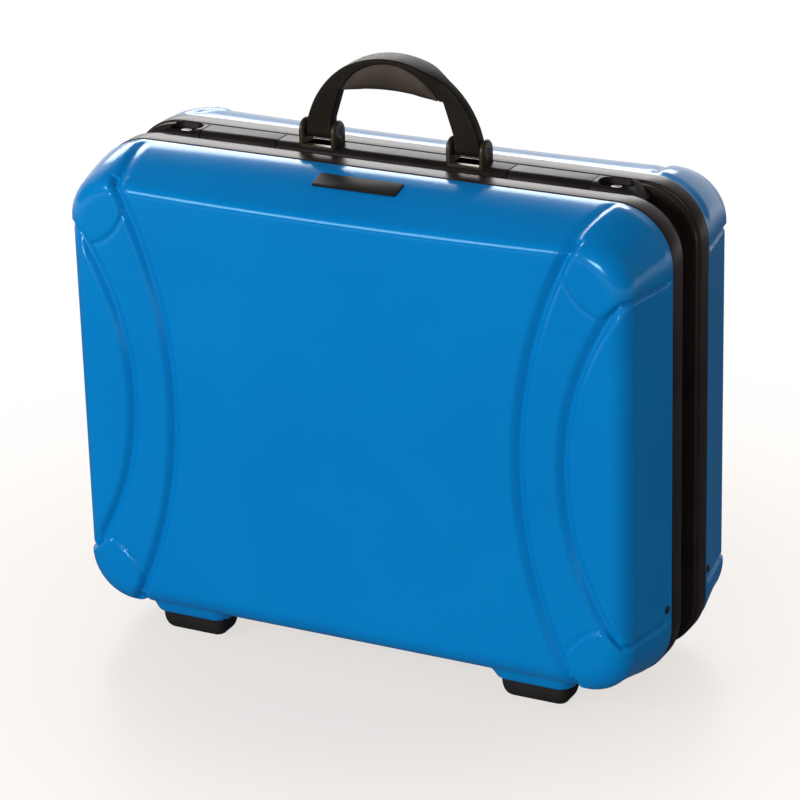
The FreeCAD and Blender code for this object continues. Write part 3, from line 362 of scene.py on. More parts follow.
def fit_piece(piece, body, slot, *nodes):
    """Says which body the piece rides on and which CAD nodes it stands for; the slot it is given is not used.
    """
    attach(piece, body)
    if nodes:
        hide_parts(*nodes)


blue = moulded_blue()
rings = shell_points()
shell_faces = ring_faces(len(rings), len(rings[0]))
for body, way in halves:
    points = rings.reshape(-1, 3) * [1, way, 1]
    shell = make_piece(body + "_moulded_shell", points, shell_faces, blue)
    fit_piece(shell, body, "shell_blue", body + "_shell")


# Lid and base frames: black anodised aluminium section, drawn with a bead, a ledge and a channel,
# bent round the corners and joined at the bottom. The base frame carries a rubber seal strip.
bend_steps = 28
bead_start, bead_edge, flange_wall = 17.5 * mm, 1.4 * mm, 2 * mm
ledge_drop, channel_half, channel_depth = 1 * mm, 12.5 * mm, 13 * mm
lid_floor_drop, floor_wall, web_wall = 0.5 * mm, 2.2 * mm, 2 * mm
flange_out, flange_in, flange_reach, slot_end = 4.6 * mm, 6.4 * mm, 45 * mm, 19.5 * mm
seal_width, seal_thickness, parting_gap = 1.8 * mm, 1 * mm, 1.2 * mm


def anodised_black():
    """Satin black metal with faint lines drawn along the section."""
    finish = Finish("anodised_black", Specular_IOR_Level=0.16, Specular_Tint=(1, 0.86, 0.8, 1))
    lines = finish.noise(1, 3, finish.stretched(60, 2400, 60))
    finish.cloud(18, (0.018, 0.013, 0.011), (0.026, 0.019, 0.017))
    finish.feed("Roughness", 0.27 + 0.12 * lines)
    finish.bump(lines, 0.00002, 0.35)
    return finish.material


def mottled(name, tones, rough, grain=None, **constants):
    """A finish in patches of two close tones, with an uneven gloss and a fine grain in the surface."""
    finish = Finish(name, **constants)
    finish.cloud(*tones)
    least, spread, *pattern = rough
    finish.feed("Roughness", least + spread * finish.noise(*pattern))
    if grain:
        scale, depth, strength = grain
        finish.bump(finish.noise(scale, 2), depth, strength)
    return finish.material


def rounded(profile, steps=5):
    """The corners of a closed outline of points (a, b, radius), each turned in a few steps."""
    points = []
    for i, (a, b, radius) in enumerate(profile):
        here = Vector((a, b))
        if radius == 0:
            points.append(here)
            continue
        back = (Vector(profile[i - 1][:2]) - here).normalized()
        ahead = (Vector(profile[(i + 1) % len(profile)][:2]) - here).normalized()
        half_turn = back.angle(ahead) / 2
        centre = here + (back + ahead).normalized() * radius / math.sin(half_turn)
        start = here + back * radius / math.tan(half_turn) - centre
        end = here + ahead * radius / math.tan(half_turn) - centre
        for step in range(steps + 1):
            way = start.slerp(end, step / steps)
            points.append(centre + way.normalized() * radius)
    return points


def bent_section(profile):
    """Rings of a section (n outwards, y) bent round the case outline, and its closed faces."""
    stations = []
    for quarter in range(4):
        turn = math.pi / 2 * quarter
        side = 1 if quarter in (0, 3) else -1
        up = 1 if quarter in (0, 1) else -1
        centre = Vector((side * (half_width - case_corner), up * (frame_top - mid_z - case_corner)))
        for step in range(bend_steps + 1):
            angle = turn + math.pi / 2 * step / bend_steps
            stations.append((centre, Vector((math.cos(angle), math.sin(angle)))))
    points = []
    for centre, out in stations:
        for n, y in profile:
            place = centre + out * (case_corner + n)
            points.append((place.x, y, mid_z + place.y))
    count, rings = len(profile), len(stations)
    faces = []
    for ring in range(rings):
        low, high = ring * count, (ring + 1) % rings * count
        for i in range(count):
            after = (i + 1) % count
            faces.append((low + i, low + after, high + after, high + i))
    return points, faces


def frame_section(floor_drop, floor_start):
    floor = -channel_depth - floor_drop
    return rounded([
        (bead_proud, shell_start, bead_edge),
        (bead_proud, bead_start, bead_edge),
        (-ledge_drop, bead_start, 0.3 * mm),
        (-ledge_drop, channel_half, 0.7 * mm),
        (floor, channel_half, 0.4 * mm),
        (floor, floor_start, 0.3 * mm),
        (floor - floor_wall, floor_start, 0.3 * mm),
        (floor - floor_wall, channel_half + web_wall, 0.6 * mm),
        (-flange_in, channel_half + web_wall, 0.6 * mm),
        (-flange_in, flange_reach, 0.4 * mm),
        (-flange_out, flange_reach, 0.4 * mm),
        (-flange_out, slot_end, 0),
        (bead_proud - flange_wall, slot_end, 0),
        (bead_proud - flange_wall, shell_start, 0.3 * mm),
    ])


black_metal = anodised_black()
rubber_tones = 40, (0.011, 0.010, 0.009), (0.018, 0.016, 0.015)
rubber_grain = 1600, 0.00006, 0.6
rubber = mottled("soft_rubber", rubber_tones, (0.55, 0.2, 1600, 2), rubber_grain, Specular_IOR_Level=0.35)
for body, way, drop, start in (("lid", -1, lid_floor_drop, parting_gap), ("base", 1, 0, 0)):
    section = [(n, way * depth) for n, depth in frame_section(drop, start)]
    ring = make_piece(body + "_drawn_frame", *bent_section(section), black_metal)
    fit_piece(ring, body, "frame_black", body + "_frame")

seal_low = -channel_depth - (floor_wall + seal_width) / 2
seal_section = rounded([
    (seal_low, 0, 0),
    (seal_low + seal_width, 0, 0),
    (seal_low + seal_width, -seal_thickness, 0.5 * mm),
    (seal_low, -seal_thickness, 0.5 * mm),
])
seal = make_piece("seal_strip", *bent_section(seal_section), rubber)
fit_piece(seal, "base", "rubber_black", "frame_seal")


# Shell rivets: domed steel rivets in gloss black, through the shell and the frame's inner flange.
# One on each side near the bottom and two underneath hold each shell.
rivet_depth, rivet_side_z, rivet_end_x = 40 * mm, 76 * mm, 172 * mm
rivet_radius, rivet_height = 3.4 * mm, 1.3 * mm


def stud_tree():
    """Domes on points: each point's facing and along vectors turn its dome."""
    tree = bpy.data.node_groups.new("studs", "GeometryNodeTree")
    sockets = {"Geometry": "Geometry", "Length": "Float", "Width": "Float", "Height": "Float"}
    for name, kind in {**sockets, "Segments": "Int", "Finish": "Material"}.items():
        tree.interface.new_socket(name, in_out="INPUT", socket_type="NodeSocket" + kind)
    tree.interface.new_socket("Geometry", in_out="OUTPUT", socket_type="NodeSocketGeometry")
    start = Shade(tree)

    def given(name):
        return start.node("NodeGroupInput", output=name)

    def vector(name):
        settings = {"data_type": "FLOAT_VECTOR"}
        return start.node("GeometryNodeInputNamedAttribute", settings, {"Name": name})

    lengths = {"X": given("Length"), "Y": given("Width"), "Z": given("Height")}
    size = start.node("ShaderNodeCombineXYZ", {}, lengths)
    up = start.node("FunctionNodeAlignRotationToVector", {"axis": "Z"}, {"Vector": vector("facing")})
    settings, inputs = {"axis": "X", "pivot_axis": "Z"}, {"Rotation": up, "Vector": vector("along")}
    turn = start.node("FunctionNodeAlignRotationToVector", settings, inputs)
    fineness = {"Segments": given("Segments"), "Rings": given("Segments") * 0.5}
    dome = start.node("GeometryNodeMeshUVSphere", {}, {**fineness, "Radius": 1.0})
    inputs = {"Points": given("Geometry"), "Instance": dome, "Rotation": turn, "Scale": size}
    placed = start.node("GeometryNodeInstanceOnPoints", {}, inputs)
    smooth = start.node("GeometryNodeSetShadeSmooth", {}, {"Geometry": placed})
    real = start.node("GeometryNodeRealizeInstances", {}, {"Geometry": smooth})
    finished = start.node("GeometryNodeSetMaterial", {}, {"Geometry": real, "Material": given("Finish")})
    tree.links.new(finished.socket, tree.nodes.new("NodeGroupOutput").inputs["Geometry"])
    return tree


stud_group = stud_tree()


def settle(piece, modifier):
    """Turns the piece and its one modifier into plain mesh."""
    graph = bpy.context.evaluated_depsgraph_get()
    made = bpy.data.meshes.new_from_object(piece.evaluated_get(graph))
    piece.modifiers.remove(modifier)
    piece.data = made


def stud_piece(name, spots, size, material, segments=20):
    """One mesh of domes of a length, width and height on spots of (place, facing, along)."""
    mesh = bpy.data.meshes.new(name)
    mesh.from_pydata([tuple(spot[0]) for spot in spots], [], [])
    for index, label in ((1, "facing"), (2, "along")):
        layer = mesh.attributes.new(label, "FLOAT_VECTOR", "POINT")
        layer.data.foreach_set("vector", np.array([tuple(spot[index]) for spot in spots]).ravel())
    piece = add_object(name, mesh)
    modifier = piece.modifiers.new("studs", "NODES")
    modifier.node_group = stud_group
    labels = ("Length", "Width", "Height", "Segments", "Finish")
    for label, value in zip(labels, (*size, segments, material)):
        modifier[stud_group.interface.items_tree[label].identifier] = value
    settle(piece, modifier)
    return piece


gloss_tones = 90, (0.008, 0.008, 0.008), (0.014, 0.013, 0.013)
gloss_grain = 900, 0.00003, 0.4
gloss = mottled("black_gloss", gloss_tones, (0.16, 0.14, 300, 3), gloss_grain, Specular_IOR_Level=0.5)
for body, way in halves:
    spots = []
    for side in (-1, 1):
        wall_x = half_width - float(side_inset(rivet_depth))
        spots.append(((side * wall_x, way * rivet_depth, rivet_side_z), (side, 0, 0), (0, 0, 1)))
        low = frame_bottom + float(bottom_inset(rivet_depth))
        spots.append(((side * rivet_end_x, way * rivet_depth, low), (0, 0, -1), (1, 0, 0)))
    rivets = stud_piece(body + "_rivet_heads", spots, (rivet_radius, rivet_radius, rivet_height), gloss)
    fit_piece(rivets, body, "rivet_black", body + "_rivets")


# Feet: black rubber blocks moulded with drawn-in sides and a round lower edge. Each stands on a
# boss of the shell, held by one countersunk screw in a well underneath.
foot_draw, foot_well, foot_well_top = 9 * mm, 4.1 * mm, 6.6 * mm
foot_steps, foot_corner_steps, draw_curve, side_curve = 14, 10, 0.7, 0.8


def zinc_steel():
    """Zinc plated steel: pale metal with a faint crystalline cloud and fine scratches."""
    finish = Finish("zinc_steel", Metallic=1)
    finish.cloud(160, (0.42, 0.42, 0.41), (0.58, 0.58, 0.56), 4)
    scratch = finish.noise(1, 2, finish.stretched(900, 60, 900))
    finish.feed("Roughness", 0.26 + 0.16 * scratch)
    finish.bump(scratch, 0.00001, 0.3)
    return finish.material


def finish_nodes(material, *nodes):
    """Gives CAD nodes whose shape is right their finish."""
    for node in nodes:
        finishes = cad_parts[node].data.materials
        finishes.clear()
        finishes.append(material)


def block_ring(half_x, half_y, radius, z):
    """Points round a rounded rectangle in plan, about its own middle."""
    points = []
    for quarter, (side, way) in enumerate(((1, 1), (-1, 1), (-1, -1), (1, -1))):
        for step in range(foot_corner_steps):
            turn = math.pi / 2 * (quarter + step / (foot_corner_steps - 1))
            x = side * (half_x - radius) + radius * math.cos(turn)
            y = way * (half_y - radius) + radius * math.sin(turn)
            points.append((x, y, z))
    return np.array(points)


def foot_points():
    """Rings of a foot from its top down the drawn-in side to the sole, and up into the screw well."""
    rings = []
    for step in range(foot_steps + 1):
        turn = math.pi / 2 * step / foot_steps
        inset = foot_draw * (1 - math.cos(turn) ** draw_curve)
        height = foot_height * (1 - math.sin(turn) ** side_curve)
        size = (foot_half[0] - inset, foot_half[1] - inset)
        rings.append(block_ring(*size, foot_corner - inset / 3, height))
    count = len(rings[0])
    turns = np.linspace(0, 2 * math.pi, count, endpoint=False)
    well_x, well_y = foot_well * np.cos(turns), foot_well * np.sin(turns)
    for z in (0, foot_well_top):
        rings.append(np.column_stack([well_x, well_y, np.full(count, z)]))
    return np.array(rings)


foot_rings = foot_points()
foot_faces = ring_faces(len(foot_rings), len(foot_rings[0]))
steel = zinc_steel()
for body, way in halves:
    for name, side in sides:
        points = foot_rings.reshape(-1, 3) + [side * foot_x, way * foot_depth, 0]
        foot = make_piece(f"{body}_rubber_foot_{name}", points, foot_faces, rubber, 50)
        fit_piece(foot, body, "rubber_black", f"{body}_foot_{name}")
    finish_nodes(steel, body + "_foot_screws")


# Hinges and lid stays: stamped steel butt hinges riveted in the bottom channel, and slotted steel
# arms that run from a pivot on the base frame to a stud on the lid frame. All are zinc plated.
for name in ("left", "right"):
    finish_nodes(steel, "hinge_leaf_base_" + name, "hinge_leaf_lid_" + name, "hinge_pin_" + name)
    finish_nodes(steel, "stay_arm_" + name, "stay_pivot_" + name, "stay_stud_" + name)
finish_nodes(steel, "base_hinge_rivets", "lid_hinge_rivets")


# Top bar: three moulded stretches in satin black, the middle one screwed to the base frame's channel
# and the two flaps hinged on steel pins along their rear edge.
bar_front, bar_rear, bar_floor, bar_top = 10.2 * mm, 12.2 * mm, 376 * mm, 392 * mm
bar_crown, bar_knuckle, bar_edge, bar_turn_steps = 7 * mm, 3.2 * mm, 0.6 * mm, 4
bar_seam_x, flap_end_x, seam_gap, flap_floor = 97 * mm, 164 * mm, 0.4 * mm, 380.8 * mm


def bar_stretch(start, end, low):
    """Points of a rounded bar along x, with its ends eased."""
    rings = []
    for step in range(bar_turn_steps + 1):
        turn = math.pi / 2 * step / bar_turn_steps
        inset = bar_edge * (1 - math.sin(turn))
        ring = rounded([
            (-bar_front + inset, low + inset, bar_edge),
            (bar_rear - inset, low + inset, bar_edge),
            (bar_rear - inset, bar_top - inset, bar_knuckle),
            (-bar_front + inset, bar_top - inset, bar_crown),
        ], 12)
        rings.append((bar_edge * (1 - math.cos(turn)), ring))
    stations = [(start + run, ring) for run, ring in rings]
    stations += [(end - run, ring) for run, ring in rings[::-1]]
    points = [(x, y, z) for x, ring in stations for y, z in ring]
    return points, ring_faces(len(stations), len(stations[0][1]))


satin_tones = 25, (0.010, 0.008, 0.008), (0.016, 0.013, 0.012)
satin_shine = {"Specular_IOR_Level": 0.1, "Specular_Tint": (1, 0.88, 0.84, 1)}
satin = mottled("satin_black", satin_tones, (0.3, 0.12, 60, 3), (1400, 0.00004, 0.4), **satin_shine)
centre_end = bar_seam_x - seam_gap / 2
bar = make_piece("handle_bar", *bar_stretch(-centre_end, centre_end, bar_floor), satin, 40)
fit_piece(bar, "base", "bar_black", "centre_bar")
for name, side in sides:
    ends = sorted((side * (bar_seam_x + seam_gap / 2), side * (flap_end_x - seam_gap / 2)))
    flap = make_piece("latch_cover_" + name, *bar_stretch(*ends, flap_floor), satin, 40)
    fit_piece(flap, "latch_" + name, "bar_black", "latch_flap_" + name)
    finish_nodes(steel, *(f"latch_{kind}_{name}" for kind in ("pin", "spring", "claw", "strike")))


# Locks: a moulded satin black end to the bar on each side, screwed to the base frame's channel, with
# a dished oval in it. A chromed key plug sits in the oval and turns a steel cam underneath.
housing_edge, plug_edge, merge_reach = 0.35 * mm, 0.15 * mm, 0.002 * mm


def eased_copy(name, node, material, edge, sharp=40):
    """A merged copy of a CAD node with small rounds on its sharp edges."""
    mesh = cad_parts[node].data.copy()
    work = bmesh.new()
    work.from_mesh(mesh)
    bmesh.ops.remove_doubles(work, verts=work.verts, dist=merge_reach)
    bmesh.ops.dissolve_limit(work, angle_limit=math.radians(1), verts=work.verts, edges=work.edges)
    work.to_mesh(mesh)
    work.free()
    mesh.name = name
    mesh.materials.clear()
    mesh.materials.append(material)
    piece = add_object(name, mesh)
    ease = piece.modifiers.new("ease", "BEVEL")
    ease.width, ease.segments, ease.limit_method = edge, 3, "ANGLE"
    ease.angle_limit = math.radians(sharp)
    settle(piece, ease)
    piece.data.shade_smooth()
    piece.data.set_sharp_from_angle(angle=math.radians(sharp))
    return piece


chrome_tones = 200, (0.09, 0.085, 0.08), (0.14, 0.135, 0.125)
chrome = mottled("bright_chrome", chrome_tones, (0.2, 0.12, 700, 3), Metallic=1)
for name in ("left", "right"):
    housing = eased_copy("lock_end_" + name, "lock_housing_" + name, satin, housing_edge)
    fit_piece(housing, "base", "bar_black", "lock_housing_" + name)
    plug = eased_copy("key_barrel_" + name, "key_plug_" + name, chrome, plug_edge)
    fit_piece(plug, "lock_" + name, "plug_chrome", "key_plug_" + name)
    finish_nodes(steel, "lock_cam_" + name)


# Carrying handle: a moulded arch, black and a little brown, with a softer and paler grip let in under
# its crown, on enamelled steel pins in two forked yokes that stand on the bar.
pin_z, handle_y, handle_half, handle_leg = 402 * mm, 1 * mm, 73 * mm, 22 * mm
handle_top, handle_shoulder = 467 * mm, 36 * mm
leg_half, grip_half, grip_run = 5.5 * mm, 11 * mm, (26 * mm, 46 * mm)
gap_top, gap_corner, gap_lean, gap_straight = 442 * mm, 437.5 * mm, 8 * mm, 412.6 * mm
seam_half, seam_top, seam_width = 41 * mm, 463.4 * mm, 0.35 * mm
rim_edge, inner_edge, seam_edge, under_edge = 2 * mm, 1.8 * mm, 0.5 * mm, 6 * mm
grip_bulge, grip_start, grip_least, fork_edge = 2.2 * mm, 0.03, 0.3 * mm, 0.6 * mm
arch_steps, face_steps, edge_steps, foot_turns = 150, 8, 5, (15, 30, 45, 60, 72, 82, 90)


def arc_through(half, low, top):
    """Centre height and radius of the arc through (-half, low), (0, top) and (half, low)."""
    radius = (half**2 + (top - low) ** 2) / (2 * (top - low))
    return top - radius, radius


def ray_to_arc(angle, centre_x, centre_z, radius):
    """Distance from the pin line's middle to an arc, along a ray."""
    rise = centre_z - pin_z
    middle = math.cos(angle) * centre_x + math.sin(angle) * rise
    return middle + math.sqrt(max(middle**2 - centre_x**2 - rise**2 + radius**2, 0))


def ray_to_line(angle, start, end):
    along = Vector((math.cos(angle), math.sin(angle)))
    start, end = Vector((start[0], start[1] - pin_z)), Vector((end[0], end[1] - pin_z))
    run = end - start
    return (start.x * run.y - start.y * run.x) / (along.x * run.y - along.y * run.x)


def handle_outside(angle):
    """Distance to the arch's outer edge: a round shoulder on each side and a flatter crown."""
    angle = min(angle, math.pi - angle)
    run, rise = handle_half - handle_shoulder, handle_top - pin_z
    crown = (run**2 + rise**2 - handle_shoulder**2) / (2 * (rise - handle_shoulder))
    lean = math.atan2(run, crown - rise)
    join = math.atan2(handle_shoulder * math.cos(lean), run + handle_shoulder * math.sin(lean))
    if angle < join:
        return ray_to_arc(angle, run, pin_z, handle_shoulder)
    return ray_to_arc(angle, 0, handle_top - crown, crown)


def handle_inside(angle):
    """Distance to the edge of the hand's gap: a straight leg, a leaning part and a flat arc."""
    angle = min(angle, math.pi - angle)
    inner = handle_half - handle_leg
    corner = (inner - gap_lean, gap_corner)
    if angle < math.atan2(gap_straight - pin_z, inner):
        return inner / math.cos(angle)
    if angle < math.atan2(gap_corner - pin_z, corner[0]):
        return ray_to_line(angle, (inner, gap_straight), corner)
    return ray_to_arc(angle, 0, *arc_through(corner[0], gap_corner, gap_top))


def handle_seam(angle):
    return ray_to_arc(angle, 0, *arc_through(seam_half, gap_corner, seam_top))


def handle_ring(angle, low, high, low_edge, high_edge, bulge=0):
    """A rounded section of the handle along one ray, from a low to a high distance."""

    def half_at(reach):
        share = smooth_step(abs(reach * math.cos(angle)), *grip_run)
        off_crown = (reach - low) / (high - low) - 0.5
        return grip_half + (leg_half - grip_half) * share - bulge * 4 * off_crown**2

    start, end = low + low_edge, high - high_edge
    bends = [(1 - math.cos(turn), 1 - math.sin(turn)) for turn in np.linspace(0, math.pi / 2, edge_steps + 1)]
    front = [(low + low_edge * run, half_at(start) - low_edge * drop) for run, drop in bends[:-1]]
    front += [(reach, half_at(reach)) for reach in np.linspace(start, end, face_steps)]
    front += [(high - high_edge * run, half_at(end) - high_edge * drop) for drop, run in bends[1:]]
    ring = [(reach, -half) for reach, half in front] + [(reach, half) for reach, half in front[::-1]]
    return [
        (reach * math.cos(angle), handle_y + y, pin_z + reach * math.sin(angle)) for reach, y in ring
    ]


def leg_foot(ring, drop):
    """The leg's section below the pin line, drawn in to the round foot."""
    share = math.sqrt(max(1 - (drop / leg_half) ** 2, 0.0004))
    return [(x, handle_y + (y - handle_y) * share, z - drop) for x, y, z in ring]


def arch_rings():
    seam_start = math.atan2(gap_corner - pin_z, seam_half)
    rings = []
    for angle in np.linspace(0, math.pi, arch_steps):
        inside = handle_inside(angle)
        in_seam = seam_start < angle < math.pi - seam_start
        low = max(handle_seam(angle), inside) if in_seam else inside
        edge = seam_edge if in_seam else inner_edge
        rings.append(handle_ring(angle, low, handle_outside(angle), edge, rim_edge))
    drops = [leg_half * math.sin(math.radians(turn)) for turn in foot_turns]
    first = [leg_foot(rings[0], drop) for drop in drops[::-1]]
    last = [leg_foot(rings[-1], drop) for drop in drops]
    return first + rings + last


def grip_rings():
    seam_start = math.atan2(gap_corner - pin_z, seam_half) + grip_start
    rings = []
    for angle in np.linspace(seam_start, math.pi - seam_start, arch_steps):
        low, high = handle_inside(angle), handle_seam(angle) - seam_width
        tall = max(high - low, grip_least)
        edges = min(under_edge, tall * 0.4), min(seam_edge, tall * 0.2)
        bulge = grip_bulge * tall / (seam_top - gap_top)
        rings.append(handle_ring(angle, low, low + tall, *edges, bulge))
    return rings


arch_tones = 30, (0.010, 0.008, 0.006), (0.015, 0.012, 0.009)
arch_shine = {"Specular_IOR_Level": 0.12, "Specular_Tint": (1, 0.82, 0.66, 1)}
arch_finish = mottled("warm_black", arch_tones, (0.4, 0.12, 80, 3), (1200, 0.00005, 0.4), **arch_shine)
grip_tones = 45, (0.032, 0.024, 0.018), (0.046, 0.035, 0.027)
grip_shine = {"Specular_IOR_Level": 0.3, "Specular_Tint": (1, 0.82, 0.66, 1)}
grip_finish = mottled("soft_grip", grip_tones, (0.42, 0.14, 120, 3), (1500, 0.00006, 0.5), **grip_shine)
for name, node, finish, rings in (
    ("carry_arch", "handle_arch", arch_finish, arch_rings()),
    ("carry_grip", "handle_grip", grip_finish, grip_rings()),
):
    points = [point for ring in rings for point in ring]
    piece = make_piece(name, points, ring_faces(len(rings), len(rings[0])), finish, 50)
    fit_piece(piece, "handle", "grip_black", node)
fork_tones = 60, (0.020, 0.015, 0.010), (0.030, 0.023, 0.016)
fork_shine = {"Specular_IOR_Level": 0.6, "Specular_Tint": (1, 0.8, 0.6, 1)}
fork_finish = mottled("fork_plastic", fork_tones, (0.3, 0.1, 150, 3), **fork_shine)
for name in ("left", "right"):
    yoke = eased_copy("fork_" + name, "handle_yoke_" + name, fork_finish, fork_edge, 30)
    fit_piece(yoke, "base", "bar_black", "handle_yoke_" + name)
    finish_nodes(gloss, "handle_pin_" + name)


# Badge: a thin moulded plate in satin black, let into a recess in the top slope of the lid and
# glued there. It is left bare.
badge_edge = 0.4 * mm
badge = eased_copy("bare_badge", "badge_plate", satin, badge_edge)
fit_piece(badge, "lid", "rivet_black", "badge_plate")


# Tray and dividers: vacuum formed grey plastic with a leather-like grain, laid in the base, with
# dividers pushed into it.
tray_edge = 0.5 * mm


def grained_grey():
    """Grey plastic with small raised cells, as on imitation leather."""
    finish = Finish("grained_grey", Specular_IOR_Level=0.4)
    settings, inputs = {"feature": "DISTANCE_TO_EDGE"}, {"Vector": finish.place, "Scale": 700}
    cells = finish.start.node("ShaderNodeTexVoronoi", settings, inputs)
    finish.cloud(14, (0.052, 0.053, 0.055), (0.068, 0.069, 0.071))
    finish.feed("Roughness", 0.5 + 0.14 * finish.noise(120, 3))
    finish.bump(cells.ramp(0, 0.25), 0.00012, 0.6)
    return finish.material


grey = grained_grey()
for name, node in (("parts_tray", "base_tray"), ("tray_walls", "tray_dividers")):
    piece = eased_copy(name, node, grey, tray_edge)
    fit_piece(piece, "base", "tray_grey", node)


# Tool board: a cut sheet of pressed fibre board with a felt-like face, which carries the pockets.
# It is held inside the lid by black plastic push clips.
board_edge = 0.5 * mm


def pressed_board():
    """Grey board with short fibres that mostly lie upright."""
    finish = Finish("pressed_board", Specular_IOR_Level=0.2)
    fibre = finish.noise(1, 4, finish.stretched(900, 900, 260))
    finish.feed("Base Color", fibre.ramp(0.3, 0.7).blend((0.075, 0.076, 0.078), (0.115, 0.116, 0.118)))
    finish.feed("Roughness", 0.75 + 0.15 * fibre)
    finish.bump(fibre, 0.0001, 0.7)
    return finish.material


board = eased_copy("pocket_board", "tool_board", pressed_board(), board_edge)
fit_piece(board, "lid", "board_grey", "tool_board")
finish_nodes(satin, "board_clips")


# Tool pockets: two rows of black woven nylon, gathered into six pockets each, with a bound top edge.
# Sewn to the board along the bottom and between the pockets.
board_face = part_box("tool_board")[1].y
pocket_half_x, pocket_tall, pocket_pitch, pocket_count = 174 * mm, 104 * mm, 138 * mm, 6
pocket_crown, cloth_wall, hem_width, hem_wall = 5 * mm, 0.5 * mm, 9 * mm, 0.5 * mm
column_width = 2 * pocket_half_x / pocket_count
cloth_columns, cloth_rows, hem_rows, arc_steps = 16, 26, 3, 200
edge_dip, cloth_lift, low_share, full_height = 1.5 * mm, 0.3 * mm, 0.15, 0.6
stitch_pitch, stitch_inset, end_shift = 4.2 * mm, 1.5 * mm, 1.2 * mm
stitch_size = (1.5 * mm, 0.35 * mm, 0.3 * mm)


def woven_nylon():
    """Plain weave: warp and weft waves that go over and under each other."""
    finish = Finish("woven_nylon", Specular_IOR_Level=0.3, Sheen_Weight=0.25, Sheen_Roughness=0.4)
    waves = []
    for direction in ("X", "Z"):
        settings = {"wave_type": "BANDS", "bands_direction": direction}
        inputs = {"Vector": finish.place, "Scale": 210}
        waves.append(finish.start.node("ShaderNodeTexWave", settings, inputs, "Fac"))
    weave = waves[0].maths("MAXIMUM", waves[0] * (1 - waves[1]), waves[1] * (1 - waves[0]))
    finish.feed("Base Color", weave.blend((0.016, 0.016, 0.018), (0.055, 0.055, 0.058)))
    finish.feed("Roughness", 0.6 + 0.2 * finish.noise(300, 2))
    finish.bump(weave, 0.0003, 0.7)
    return finish.material


def pocket_arch(x):
    """0 at a seam and 1 in the middle of a pocket."""
    return math.sin(math.pi * (((x + pocket_half_x) / column_width) % 1))


def pocket_bulge(x, height):
    """How far the cloth stands off the board, from a seam to the middle of a pocket."""
    up = low_share + (1 - low_share) * float(smooth_step(height / pocket_tall, 0, full_height))
    return cloth_lift + pocket_crown * pocket_arch(x) ** 0.7 * up


def pocket_dip(x, height):
    """How far the cloth sinks towards the open top between two seams."""
    return edge_dip * pocket_arch(x) * float(smooth_step(height, pocket_tall / 2, pocket_tall))


def cloth_piece(name, low, start, end, rows, lift, wall, material):
    """A sheet over the pockets between two heights, given its thickness."""
    columns = pocket_count * cloth_columns
    points, faces = [], []
    for row in range(rows + 1):
        height = start + (end - start) * row / rows
        for column in range(columns + 1):
            x = -pocket_half_x + 2 * pocket_half_x * column / columns
            off_board = board_face + lift + pocket_bulge(x, height)
            points.append((x, off_board, low + height - pocket_dip(x, height)))
    for row in range(rows):
        for column in range(columns):
            corner = row * (columns + 1) + column
            faces.append((corner, corner + 1, corner + columns + 2, corner + columns + 1))
    piece = make_piece(name, points, faces, material, 60)
    if piece.data.polygons[0].normal.y < 0:
        piece.data.flip_normals()
    thick = piece.modifiers.new("thick", "SOLIDIFY")
    thick.thickness, thick.offset = wall, 1
    settle(piece, thick)
    return piece


nylon = woven_nylon()
thread_tones = 900, (0.12, 0.12, 0.12), (0.2, 0.2, 0.2), 2
thread = mottled("sewing_thread", thread_tones, (0.6, 0.1, 500, 1), Specular_IOR_Level=0.3)
arc_step = column_width / arc_steps
arc_rise = [pocket_bulge(-pocket_half_x + arc_step * step, pocket_tall) for step in range(arc_steps)]
arc = sum(math.hypot(arc_step, after - here) for here, after in zip(arc_rise, arc_rise[1:]))
hem_start = pocket_tall - hem_width
for row, name in enumerate(("lower", "upper")):
    low = mid_z + pocket_pitch * (row - 0.5) - pocket_tall / 2
    cloth = cloth_piece(name + "_pockets", low, 0, pocket_tall, cloth_rows, 0, cloth_wall, nylon)
    fit_piece(cloth, "lid", "pocket_fabric", "tool_pockets")
    hem_span = (low, hem_start, pocket_tall, hem_rows, cloth_wall, hem_wall)
    hem = cloth_piece(name + "_pocket_binding", *hem_span, nylon)
    fit_piece(hem, "lid", "pocket_fabric")
    spots = []
    for seam in range(pocket_count + 1):
        x = -pocket_half_x + column_width * seam
        x += end_shift * ((seam == 0) - (seam == pocket_count))
        for step in range(int(hem_start / stitch_pitch)):
            height = stitch_pitch * (step + 0.5)
            y = board_face + pocket_bulge(x, height) + cloth_wall
            spots.append(((x, y, low + height), (0, 1, 0), (0, 0, 1)))
    for step in range(int(2 * pocket_half_x / stitch_pitch)):
        x = -pocket_half_x + stitch_pitch * (step + 0.5)
        for height, lift in ((stitch_inset, 0), (hem_start + stitch_inset, hem_wall)):
            y = board_face + pocket_bulge(x, height) + cloth_wall + lift
            z = low + height - pocket_dip(x, height)
            spots.append(((x, y, z), (0, 1, 0), (1, 0, 0)))
    sewing = stud_piece(name + "_pocket_stitches", spots, stitch_size, thread, 8)
    fit_piece(sewing, "lid", "pocket_fabric")


# Floor, light and camera: a pale studio floor, a small light in front, a broad one on the left for
# the crease and edges, and a wide one behind on the left, seen in the top of the case. The camera is
# the one fitted to the photograph.
fit_azimuth, fit_elevation, fit_roll = math.radians(27.31), math.radians(21.79), math.radians(-1.55)
fit_distance, fit_focal, fit_centre = 2656 * mm, 3443, (401.0, 388.9)
image_size, sensor, fill_light = 800, 36, 0.4

back = Vector((
    math.sin(fit_azimuth) * math.cos(fit_elevation),
    -math.cos(fit_azimuth) * math.cos(fit_elevation),
    math.sin(fit_elevation),
))
level = Vector((math.cos(fit_azimuth), math.sin(fit_azimuth), 0))
upright = back.cross(level)
right = level * math.cos(fit_roll) + upright * math.sin(fit_roll)
upward = upright * math.cos(fit_roll) - level * math.sin(fit_roll)
target = Vector((0, 0, mid_z))

